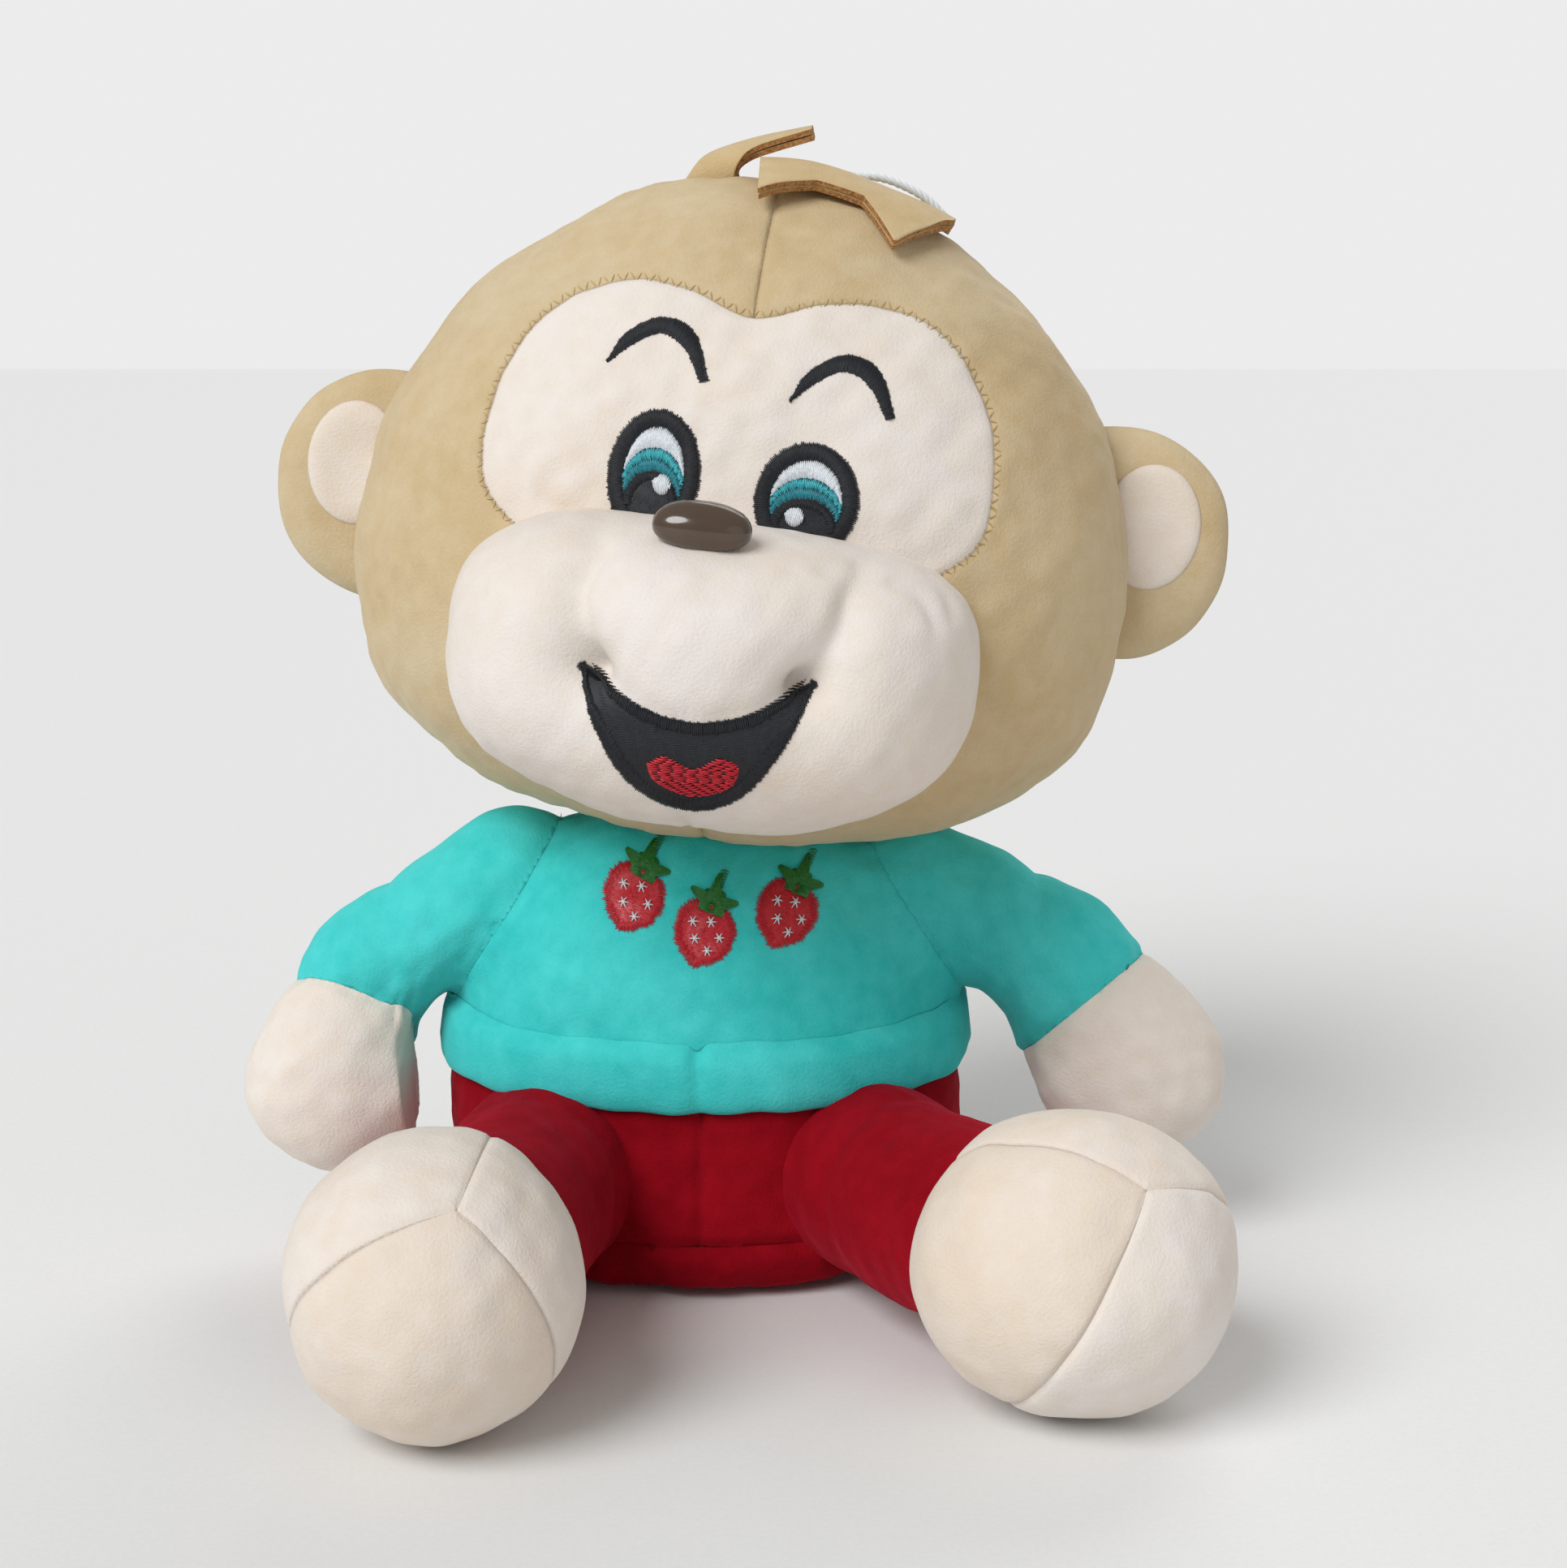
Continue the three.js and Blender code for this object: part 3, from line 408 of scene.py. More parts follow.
def limb(route, widths, start_round, end_round, fore, rows=40, sides=40):
    """Points and faces of a stuffed limb. widths lists share of length and the two half-widths."""
    line = smooth_path(route, 120)
    step = np.linalg.norm(np.diff(line, axis=0), axis=1)
    gone = np.concatenate([[0], np.cumsum(step)])
    length = gone[-1]
    tangent = np.gradient(line, axis=0)
    tangent /= np.linalg.norm(tangent, axis=1)[:, None]
    table = np.array(widths, float)
    reach = (1 - np.cos(np.linspace(0, np.pi, rows + 1))) / 2 * (length + start_round) - start_round
    rings = []
    for d in reach:
        s = np.clip(d / length, 0, 1)
        middle = np.array([np.interp(s * length, gone, line[:, k]) for k in range(3)])
        along = np.array([np.interp(s * length, gone, tangent[:, k]) for k in range(3)])
        along /= np.linalg.norm(along)
        middle = middle + along * (d - s * length)
        aft = np.array(fore, float) - along * np.dot(along, fore)
        aft /= np.linalg.norm(aft)
        across = np.cross(aft, along)
        start_left = min(1.0, (d + start_round) / start_round)
        end_left = min(1.0, (length - d) / end_round)
        cap = math.sqrt(max(0, 1 - (1 - start_left) ** 2)) * math.sqrt(max(0, 1 - (1 - end_left) ** 2))
        wide, thin = (np.interp(s, table[:, 0], table[:, k]) * cap for k in (1, 2))
        turn = np.linspace(0, 2 * np.pi, sides, endpoint=False)[:, None]
        rings.append(middle + np.cos(turn) * wide * across + np.sin(turn) * thin * aft)
    ids = np.arange((rows + 1) * sides).reshape(rows + 1, sides)
    return np.concatenate(rings), around(ids)


def evaluated(thing):
    graph = bpy.context.evaluated_depsgraph_get()
    return bpy.data.meshes.new_from_object(thing.evaluated_get(graph), depsgraph=graph)


def finished(thing):
    """The mesh with every modifier applied, and the maker's working object removed."""
    mesh = evaluated(thing)
    bpy.data.objects.remove(thing)
    return mesh


def coordinates(mesh):
    flat = np.empty(len(mesh.vertices) * 3)
    mesh.vertices.foreach_get("co", flat)
    return flat.reshape(-1, 3)


VOXEL_M = 0.004
FILLING_PRESSURE = 4.0
STUFFING_FRAMES = 20


def stuffed(name, parts, softening, most_swell):
    """Skins of overlapping forms made one skin, then filled under pressure so that the cloth pulls taut."""
    points, faces, first = [], [], 0
    for part_points, part_faces in parts:
        faces += [[first + i for i in face] for face in part_faces]
        points.append(part_points)
        first += len(part_points)
    thing = sewn(name, np.concatenate(points), faces, cream_velour)
    merge = thing.modifiers.new("one skin", "REMESH")
    merge.mode = "VOXEL"
    merge.voxel_size = VOXEL_M
    soften = thing.modifiers.new("soften", "SMOOTH")
    soften.factor = 0.5
    soften.iterations = softening
    mesh = finished(thing)
    thing = add_object(name, mesh, cream_velour)
    at_rest = coordinates(mesh)
    cloth = thing.modifiers.new("filling", "CLOTH")
    cloth.settings.quality = 6
    cloth.settings.mass = 0.15
    cloth.settings.tension_stiffness = 12
    cloth.settings.compression_stiffness = 12
    cloth.settings.bending_stiffness = 0.3
    cloth.settings.use_pressure = True
    cloth.settings.uniform_pressure_force = FILLING_PRESSURE
    cloth.settings.effector_weights.gravity = 0
    for frame_number in range(1, STUFFING_FRAMES + 1):
        bpy.context.scene.frame_set(frame_number)
    swollen = finished(thing)
    move = coordinates(swollen) - at_rest
    far = np.linalg.norm(move, axis=1)
    share = np.minimum(1, most_swell * MM / np.maximum(far, 1e-9))
    swollen.vertices.foreach_set("co", (at_rest + move * share[:, None]).ravel())
    mesh = swollen
    bpy.context.scene.frame_set(1)
    thing = add_object(name, mesh, cream_velour)
    finer = thing.modifiers.new("finer", "SUBSURF")
    finer.levels = finer.render_levels = 2
    return finished(thing)


def cut_by(mesh, planes):
    """The mesh as points and faces in millimetres, with edges made along each plane."""
    bm = bmesh.new()
    bm.from_mesh(mesh)
    for at, out in planes:
        everything = list(bm.verts) + list(bm.edges) + list(bm.faces)
        bmesh.ops.bisect_plane(bm, geom=everything, dist=1e-7, plane_co=Vector(at) * MM, plane_no=Vector(out))
    bm.normal_update()
    bm.verts.index_update()
    points = np.array([v.co[:] for v in bm.verts]) / MM
    normals = np.array([v.normal[:] for v in bm.verts])
    faces = [[v.index for v in f.verts] for f in bm.faces]
    bm.free()
    return points, normals, faces


def cover(name, points, faces, thick, centre, material, nap_shade_level=0.5):
    """One cut panel of fabric with a back to it, closed along its edges."""
    used = sorted({int(i) for face in faces for i in face})
    number = {old: new for new, old in enumerate(used)}
    mesh = bpy.data.meshes.new(name)
    mesh.from_pydata((points[used] * MM).tolist(), [], [[number[int(i)] for i in face] for face in faces])
    bm = bmesh.new()
    bm.from_mesh(mesh)
    bmesh.ops.remove_doubles(bm, verts=bm.verts, dist=2e-6)
    bmesh.ops.dissolve_degenerate(bm, edges=bm.edges, dist=1e-6)
    bmesh.ops.recalc_face_normals(bm, faces=bm.faces)
    bm.normal_update()
    middle = Vector(centre) * MM
    if sum((v.co - middle).dot(v.normal) for v in bm.verts) < 0:
        bmesh.ops.reverse_faces(bm, faces=bm.faces)
        bm.normal_update()
    edges = [e for e in bm.edges if e.is_boundary]
    back = {v: bm.verts.new(v.co - v.normal * thick * MM) for v in list(bm.verts)}
    for face in list(bm.faces):
        bm.faces.new([back[v] for v in reversed(face.verts)])
    for edge in edges:
        loop = next(iter(edge.link_loops))
        a, b = loop.vert, loop.link_loop_next.vert
        bm.faces.new([b, a, back[a], back[b]])
    for face in bm.faces:
        face.smooth = True
    bm.to_mesh(mesh)
    bm.free()
    # The panel's level of painted light and shade, which the velour finish mixes in.
    mesh.attributes.new("nap_shade_level", "FLOAT", "POINT").data.foreach_set("value", [nap_shade_level] * len(mesh.vertices))
    return add_object(name, mesh, material)


FABRIC = 1.4
BODY = {"width": 62, "depth": 46, "up": 75.5, "down": 36.2, "up_power": 2.1, "down_power": 6, "plan": 2.2,
        "lean": 14}
BODY_MIDDLE = np.array([0, 0, 36.0])
ARM_ROUTES = {
    "right": [(-45, 0, 85), (-64, -1, 74.5), (-79.5, -5, 60), (-86.5, -16, 42), (-91, -20, 20)],
    "left": [(47, 0, 83), (69, -1, 75), (88, -5, 62), (101.5, -11, 43.5), (110.5, -15, 22)],
}
ARM_WIDTHS = [(0, 20, 20), (0.3, 21.2, 20.2), (0.55, 19.4, 18.4), (0.76, 23.4, 19.2), (1, 20, 16.5)]
SHOULDER_ROUND, HAND_ROUND = 20, 17
THUMB_REACH, THUMB_ROOT, THUMB_TIP = 26, 9.5, 5.8
CUFF_SHARE = 0.56
SIDES = {"right": -1, "left": 1}
NECK_TOP, TROUSER_TOP, SEAT_SEAM = 106, 50, 13
ARMHOLE = {"right": (-48, 0, 80), "left": (51, 0, 80)}
ARMHOLE_LEAN = (0.852, 0, 0.523)  # out and up, for the toy's left side
BUILD_LIFT = math.radians(38)  # the body is cut and filled with its arms held out, then laid down
BUILD_BEND = 30  # past the armhole, the length of sleeve that bends as they are laid down
armholes = {side: (ARMHOLE[side], (sign * ARMHOLE_LEAN[0], 0, ARMHOLE_LEAN[2]))
            for side, sign in SIDES.items()}


def beyond(at, out, spots):
    """How far past a seam's plane each spot lies."""
    return (spots - np.array(at, float)) @ (np.array(out, float) / np.linalg.norm(out))


def swung(side, spots, raised, turn):
    """Spots of an arm turned about its shoulder, less and less where they lie near the armhole."""
    axis = direction(f"arm_lift_{side}")
    pivot = np.array(JOINTS[f"arm_lift_{side}"]["pos_m"], float) / MM
    share = np.clip(beyond(*armholes[side], raised) / BUILD_BEND, 0, 1)
    angle = (turn * share)[:, None]
    from_pivot = np.asarray(spots, float) - pivot
    along = (from_pivot @ axis)[:, None] * axis
    return pivot + along + (from_pivot - along) * np.cos(angle) + np.cross(axis, from_pivot) * np.sin(angle)


def held_out(side, spots):
    """Where spots of the resting arm lie while the body is made, found by drawing closer step by step."""
    raised = np.asarray(spots, float)
    for _ in range(30):
        raised = (raised + swung(side, spots, raised, BUILD_LIFT)) / 2
    return raised


skins = [blob(BODY, BODY_MIDDLE, 60, 90)]
cuffs, hands, raised_routes = {}, {}, {}
ROUTE_STEPS, HAND_SHARE = 100, 0.8
for side, sign in SIDES.items():
    resting = smooth_path(ARM_ROUTES[side], ROUTE_STEPS + 1)
    hands[side] = resting[int(HAND_SHARE * ROUTE_STEPS)]
    route = raised_routes[side] = held_out(side, resting[::10])
    skins.append(limb(route, ARM_WIDTHS, SHOULDER_ROUND, HAND_ROUND, (0, 1, 0)))
    hand = held_out(side, np.array([ARM_ROUTES[side][3]], float))[0]
    inward = np.array([-sign, -0.55, -0.1])
    tip = np.array(ARM_ROUTES[side][3]) + inward / np.linalg.norm(inward) * THUMB_REACH
    tip = swung(side, tip[None], hand[None], BUILD_LIFT)[0]
    thumb_widths = [(0, THUMB_ROOT, THUMB_ROOT), (1, THUMB_TIP, THUMB_TIP)]
    skins.append(limb([tuple(hand), tuple(tip)], thumb_widths, THUMB_ROOT, THUMB_TIP, (0, 0.1, 1), 16, 20))
    line = smooth_path(route, ROUTE_STEPS + 1)
    k = int(CUFF_SHARE * ROUTE_STEPS)
    cuffs[side] = (line[k], (line[k + 1] - line[k - 1]) / np.linalg.norm(line[k + 1] - line[k - 1]))

planes = [((0, 0, TROUSER_TOP), (0, 0, 1)), ((0, 0, SEAT_SEAM), (0, 0, 1)), ((0, 0, NECK_TOP), (0, 0, 1)),
          ((0, 0, 0), (1, 0, 0)), ((0, 0, 0), (0, 1, 0)), *cuffs.values(), *armholes.values()]
points, normals, faces = cut_by(stuffed("body_skin", skins, 7, 3.0), planes)


def near_line(spots, line):
    return np.linalg.norm(spots[:, None] - np.asarray(line)[None], axis=2).min(1)


def seam_dip(distance, along, depth=0.9, width=1.5, pull=0.8, pull_width=6.0, seed=5):
    """The narrow groove of a seam, and the wider, uneven pull of the stuffed cloth on both its sides."""
    pucker = 0.65 + 0.35 * waves(along, 9.0, seed)
    narrow = depth * np.exp(-(distance / width) ** 2)
    return narrow + pull * pucker * np.exp(-(distance / pull_width) ** 2)


ARM_ZONE = 30  # how far from an arm's centre line its seams reach
dip = np.zeros(len(points))
arm_share = {}
for side, sign in SIDES.items():
    line = smooth_path(raised_routes[side], 30)
    on_arm = near_line(points, line) < ARM_ZONE
    past_hole = beyond(*armholes[side], points)
    past_cuff = beyond(*cuffs[side], points)
    arm_share[side] = (past_hole, past_cuff)
    own = on_arm & (points[:, 0] * sign > 0)
    dip += np.where(own & (past_hole < 15), seam_dip(past_hole, points, 0.7, 1.3, 0.5, 5, 3), 0)
    dip += np.where(own & (past_hole > 12), seam_dip(past_cuff, points, 1.0, 1.5, 0.9, 5, 4), 0)
trunk = np.maximum(*[arm_share[s][0] for s in SIDES]) < 0
dip += np.where(trunk, seam_dip(points[:, 2] - SEAT_SEAM, points, 1.2, 1.5, 0.9, 5, 6), 0)
low = trunk & (points[:, 2] < TROUSER_TOP) & (points[:, 2] > SEAT_SEAM)
dip += np.where(low, seam_dip(points[:, 0], points, 0.9, 1.3, 0.7, 5, 7), 0)
dip += np.where(trunk & (points[:, 2] > TROUSER_TOP), seam_dip(points[:, 1], points, 0.6, 1.3, 0.5, 4, 8), 0)
lumps = 0.35 * waves(points, 22, 11) + 0.14 * waves(points, 8, 12)
skin = points + normals * (lumps - dip)[:, None]
for side, sign in SIDES.items():
    own = points[:, 0] * sign > 0
    skin[own] = swung(side, skin[own], points[own], -BUILD_LIFT)
skin[:, 2] = np.maximum(skin[:, 2], 0.25)

middles = np.array([points[face].mean(0) for face in faces])
which = np.full(len(faces), "shirt_front", dtype=object)
which[middles[:, 1] > 0] = "shirt_back"
below = middles[:, 2] < TROUSER_TOP
which[below] = np.where(middles[below, 0] < 0, "trousers_right", "trousers_left")
which[middles[:, 2] < SEAT_SEAM] = "seat_panel"
for side, sign in SIDES.items():
    on_side = (middles[:, 0] * sign > 0) & (beyond(*armholes[side], middles) > 0)
    which[on_side] = f"sleeve_{side}"
    which[on_side & (beyond(*cuffs[side], middles) > 0)] = f"hand_{side}"
which[(middles[:, 2] > NECK_TOP) & np.char.startswith(which.astype(str), "shirt")] = "open neck"


def body_panel(name, material, centre=BODY_MIDDLE, nap_shade_level=0.5):
    return cover(name, skin, [f for f, w in zip(faces, which) if w == name], FABRIC, centre, material, nap_shade_level)


# The last number given to a panel is its level of painted light and shade.
shirt_front = body_panel("shirt_front", turquoise_velour, nap_shade_level=0.55)
attach(shirt_front, "torso", "turquoise_velour", "shirt_front", "torso_stuffing")
shirt_back = body_panel("shirt_back", turquoise_velour)
attach(shirt_back, "torso", "turquoise_velour", "shirt_back")
seat_panel = body_panel("seat_panel", red_velour, nap_shade_level=0.4)
attach(seat_panel, "torso", "red_velour", "seat_panel")
ARMHOLE_STILL, SHOULDER_BEND = 11, 29  # lengths of sleeve next to the armhole; the sleeve is not bent, and the second length is not used
for side, sign in SIDES.items():
    trunk_half = body_panel(f"trousers_{side}", red_velour)
    attach(trunk_half, "torso", "red_velour", f"trousers_{side}")
    sleeve = body_panel(f"sleeve_{side}", turquoise_velour, smooth_path(ARM_ROUTES[side], 9)[3], 0.7)
    start = np.array(ARMHOLE[side], float)
    along = np.array(ARM_ROUTES[side][2], float) - start
    start = start + along / np.linalg.norm(along) * ARMHOLE_STILL
    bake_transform(sleeve)
    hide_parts(f"sleeve_{side}")
    hand = body_panel(f"hand_{side}", cream_velour, hands[side], 0.62)
    attach(hand, f"arm_{side}", "cream_velour", f"hand_{side}", f"arm_stuffing_{side}")

# ------------------------------------------------------------------ hem band of the shirt
# A doubled strip of the same velour, folded on itself and sewn round the shirt so that it stands proud of
# the trousers. Its lower edge sags at the front and it is gathered at a pucker in the middle.

trunk_faces = [f for f, w in zip(faces, which) if not w.startswith(("sleeve", "hand"))]
body_tree = BVHTree.FromPolygons([Vector(p) for p in skin.tolist()], trunk_faces)
HEM_LOW, HEM_HIGH, HEM_PROUD = 43.6, 60.5, 3.3
MOST_SWOLLEN = 3.6  # how far the filled trunk may stand outside its plain form under the band
HEM_TURNS, HEM_ROUND = 300, 22


def hit(tree, start, way):
    spot, normal, _, _ = tree.ray_cast(Vector(start), Vector(way))
    return (np.array(spot), np.array(normal)) if spot else (None, None)


def plain_trunk(out, z):
    """How far the trunk's plain form reaches from its axis at height z, in the direction out."""
    plan = (abs(out[0] / BODY["width"]) ** BODY["plan"] + abs(out[1] / BODY["depth"]) ** BODY["plan"]) ** (
        1 / BODY["plan"])
    high = (z - BODY_MIDDLE[2]) / BODY["up"]
    return (1 - high ** BODY["up_power"]) ** (1 / BODY["up_power"]) / plan


rows = []
swollen = 1.0  # how far the cloth last found stood outside the plain form; it bridges the open armholes
for k in range(HEM_TURNS):
    turn = 2 * math.pi * k / HEM_TURNS
    out = np.array([math.cos(turn), math.sin(turn), 0])
    front = max(0.0, -math.sin(turn))
    pinch = math.exp(-((k / HEM_TURNS - 0.748) / 0.006) ** 2)
    wave = 0.5 * math.sin(turn * 9 + 1) + 0.35 * math.sin(turn * 23)
    low = HEM_LOW + 1.5 * (1 - front) + 0.5 * wave
    high = HEM_HIGH - 0.9 * front + 0.4 * wave - 1.8 * pinch
    ring = []
    for j in range(HEM_ROUND):
        bend = 2 * math.pi * j / HEM_ROUND
        up = (1 - math.copysign(abs(math.cos(bend)) ** 0.45, math.cos(bend))) / 2
        z = low + (high - low) * up
        spot, _ = hit(body_tree, (out[0] * 150, out[1] * 150, z), -out)
        if spot is not None and math.hypot(*spot[:2]) > plain_trunk(out, z) - 2:
            swollen += 0.3 * (min(MOST_SWOLLEN, math.hypot(*spot[:2]) - plain_trunk(out, z)) - swollen)
        spot = out * (plain_trunk(out, z) + swollen) + np.array([0, 0, z])
        outside = math.sin(bend) > 0
        swell = HEM_PROUD * (0.75 + 0.25 * math.sin(up * math.pi)) - 1.1 * pinch * up
        swell -= 2.3 * max(0.0, up - 0.84) / 0.16
        ring.append(spot + out * (swell * abs(math.sin(bend)) ** 0.5 + 0.5 if outside else 0.15))
    rows.append(ring)
ids = np.arange(HEM_TURNS * HEM_ROUND).reshape(HEM_TURNS, HEM_ROUND)
ids = np.concatenate([ids, ids[:1]])
hem = sewn("hem_band", np.array(rows).reshape(-1, 3), around(ids), turquoise_velour)
# The band's level of painted light and shade.
hem.data.attributes.new("nap_shade_level", "FLOAT", "POINT").data.foreach_set("value", [0.62] * len(hem.data.vertices))
attach(hem, "torso", "turquoise_velour", "hem_band")

# ------------------------------------------------------------------ legs and feet
# Trouser legs are filled tubes of the red velour, sewn to the trunk at the hips. Each foot is a ball of
# three cream gores whose seams meet in a Y on its upper front, gathered to the leg at the ankle.

LEG_ROUTES = {
    "right": [(-35.5, -33, 25.5), (-43, -70, 27), (-51.5, -115, 31.5)],
    "left": [(38, -35, 25.5), (55, -68, 27.5), (79, -104, 31.5)],
}
LEG_WIDTHS = [(0, 22.5, 22.5), (0.35, 21.6, 21.8), (1, 24, 23)]
LEG_ROUND = 22.5
FOOT = {"right": (30.5, 31.5), "left": (34, 31.5)}
ANKLE_SHARE = 0.76
SEAM_AIM = {"right": (8.5, -21, 25), "left": (13, -22, 27)}
SEAM_TURNS = {"right": (57, 186, 310), "left": (123, 230, 354)}
GORES = {"right": ("outer", "sole", "inner"), "left": ("inner", "sole", "outer")}
# Each gore's level of painted light and shade.
GORE_NAP_SHADE_LEVEL = {"right": (0.62, 0.35, 0.7), "left": (0.3, 0.8, 0.5)}
FOOT_ROWS, FOOT_STEP = 110, 3  # rings from the Y to the heel, and degrees between meridians

for side in SIDES:
    route = LEG_ROUTES[side]
    line = smooth_path(route, ROUTE_STEPS + 1)
    k = int(ANKLE_SHARE * ROUTE_STEPS)
    ankle, out = line[k], (line[k + 1] - line[k - 1]) / np.linalg.norm(line[k + 1] - line[k - 1])
    leg_skin = stuffed(f"leg_skin_{side}", [limb(route, LEG_WIDTHS, LEG_ROUND, LEG_ROUND, (0, 0, 1))], 3, 1.5)
    spots, outward, patches = cut_by(leg_skin, [(ankle, out)])
    hip = np.array(route[0], float)
    past = beyond(hip, out, spots)
    folds = 0.9 * np.exp(-((past - 17) / 3.5) ** 2) * (0.6 + 0.4 * waves(spots, 16, 31))
    folds += 0.5 * np.exp(-((past - 30) / 3.0) ** 2) * np.clip(waves(spots, 26, 32), 0, 1)
    edge = 1.6 * np.exp(-(beyond(ankle, out, spots) / 2.2) ** 2)
    lumps = 0.3 * waves(spots, 20, 33) + 0.12 * waves(spots, 7, 34)
    spots = spots + outward * (lumps - folds - edge)[:, None]
    spots[:, 2] = np.maximum(spots[:, 2], 0.3)
    kept = [f for f in patches if beyond(ankle, out, spots[f].mean(0)[None])[0] < 0.3]
    # The last number is the leg's level of painted light and shade.
    leg = cover(f"trouser_leg_{side}", spots, kept, FABRIC, line[40], red_velour, 0.55)
    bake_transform(leg)
    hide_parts(f"trouser_leg_{side}")

    aim = np.array(SEAM_AIM[side], float) / np.linalg.norm(SEAM_AIM[side])
    across = np.cross((0, 0, 1), aim)
    across /= np.linalg.norm(across)
    over = np.cross(aim, across)
    wide, radius = FOOT[side]
    centre = np.array(route[-1], float)
    open_angle = np.linspace(0, np.pi, FOOT_ROWS + 1)[:, None]
    for g, (gore, start) in enumerate(zip(GORES[side], SEAM_TURNS[side])):
        stop = SEAM_TURNS[side][(g + 1) % 3]
        stop += 360 if stop < start else 0
        steps = max(8, round((stop - start) / FOOT_STEP))
        turn = np.radians(np.linspace(start, stop, steps + 1))[None]
        rays = (np.cos(open_angle)[..., None] * aim + np.sin(open_angle)[..., None]
                * (np.cos(turn)[..., None] * across + np.sin(turn)[..., None] * over)).reshape(-1, 3)
        ball = centre + rays * (wide, radius, radius)
        from_seam = np.minimum(turn - turn[0, 0], turn[0, -1] - turn)
        arc = (np.sin(open_angle) * from_seam * radius).reshape(-1)
        sunk = seam_dip(arc, ball, 0.45, 0.9, 0.3, 4, 41)
        behind = beyond(ankle, out, ball)
        from_axis = np.linalg.norm(ball - ankle - behind[:, None] * out, axis=1)
        gathers = 0.6 + 0.4 * np.sin(np.arctan2(ball[:, 0] - ankle[0], ball[:, 2] - ankle[2]) * 17)
        tucked = (behind < 12) * np.exp(-((from_axis - 24) / 3.2) ** 2) * (1.6 + 0.5 * gathers)
        lumps = 0.35 * waves(ball, 24, 42) + 0.12 * waves(ball, 8, 43)
        ball = ball + rays * (lumps - sunk - tucked)[:, None]
        ball[:, 2] = np.maximum(ball[:, 2], 0.3)
        ids = np.arange(len(ball)).reshape(FOOT_ROWS + 1, steps + 1)
        gore_cover = cover(f"foot_{gore}_{side}", ball, grid_faces(ids), FABRIC, centre, cream_velour,
                           GORE_NAP_SHADE_LEVEL[side][g])
        nodes = [f"foot_{gore}_{side}"] + ([f"leg_stuffing_{side}"] if gore == "sole" else [])
        attach(gore_cover, f"leg_{side}", "cream_velour", *nodes)
# ------------------------------------------------------------------ neck and head
# The head is a large filled ball of two front and two back tan panels, with a cream face panel let into
# the front. It stands on a short stuffed neck, which is hidden inside the seam.

fibre_white, _, fibres = mottled("fibre_filling", (0.62, 0.62, 0.61), (0.92, 0.92, 0.91), 320, 1.0, 8)
fibres.inputs["Distortion"].default_value = 2.5

NECK_RADIUS = 18.6
neck_form = {**dict.fromkeys(("width", "depth", "up", "down"), NECK_RADIUS),
             **dict.fromkeys(("up_power", "down_power", "plan"), 2)}
spots, patches = blob(neck_form, NECK_PIVOT, 48, 64)
spots = spots + (spots - NECK_PIVOT) / NECK_RADIUS * (0.7 * waves(spots, 7, 51))[:, None]
neck = sewn("neck_filling", spots, patches, fibre_white)
attach(neck, "neck", "filling", "neck_stuffing")

# The lit tan and the same tan in painted shade, as darker golden creases and lower parts.
tan_velour = velour("tan_velour", (0.66, 0.545, 0.36), (0.56, 0.41, 0.215), (1.0, 0.94, 0.82), grain=0.45)
HEAD = {"width": 90, "depth": 64, "up": 89, "down": 63, "up_power": 1.92, "down_power": 2.5,
        "plan": 2.15}
HEAD_WIDEST = np.array([0, 0, -13.0])
CROWN_SEAM_Y = 6
FACE_MIDDLE = np.array([0, 12.0])
FACE_HALF = [(0, 46.6), (14.5, 50.5), (29.5, 51), (43.5, 44), (53, 30), (55.5, 15), (53, 3), (41, -7),
             (30, -22), (0, -28)]
HEAD_TURNS = 288
FACE_RINGS, CROWN_RINGS, BACK_RINGS = 70, 60, 64


def closed_path(corners, count):
    """A smooth closed outline through the corners, as an even run of points."""
    ring = np.array(list(corners) * 3, float)
    flat = smooth_path(np.concatenate([ring, np.zeros((len(ring), 1))], axis=1), 1500)[:, :2]
    start = int(np.argmin(np.linalg.norm(flat[:1000] - np.array(corners[0]), axis=1)
                          + 1000 * (np.arange(1000) < 300)))
    end = start + 300 + int(np.argmin(np.linalg.norm(flat[start + 300:] - flat[start], axis=1)))
    lap = flat[start:end + 1]
    gone = np.concatenate([[0], np.cumsum(np.linalg.norm(np.diff(lap, axis=0), axis=1))])
    at = np.linspace(0, gone[-1], count, endpoint=False)
    return np.stack([np.interp(at, gone, lap[:, k]) for k in range(2)], -1)


def front_of(form, centre, flat):
    """The point of a form's front for each X and Z of the head."""
    x, z = flat[:, 0] - centre[0], flat[:, 1] - centre[2]
    above = z > 0
    fullness = np.where(above, form["up_power"], form["down_power"])
    tall = np.where(above, form["up"], form["down"])
    size = np.clip(1 - np.abs(z / tall) ** fullness, 1e-9, 1) ** (1 / fullness)
    share = np.clip(1 - np.abs(x / (form["width"] * size)) ** form["plan"], 0, 1) ** (1 / form["plan"])
    return np.stack([flat[:, 0], centre[1] - form["depth"] * size * share, flat[:, 1]], -1)


def between(a, b, shares):
    """Directions spread evenly from a to b, for each pair."""
    a = a / np.linalg.norm(a, axis=1)[:, None]
    b = b / np.linalg.norm(b, axis=1)[:, None]
    angle = np.arccos(np.clip((a * b).sum(1), -1, 1))[None, :, None]
    s = np.asarray(shares)[:, None, None]
    return (np.sin((1 - s) * angle) * a + np.sin(s * angle) * b) / np.maximum(np.sin(angle), 1e-9)


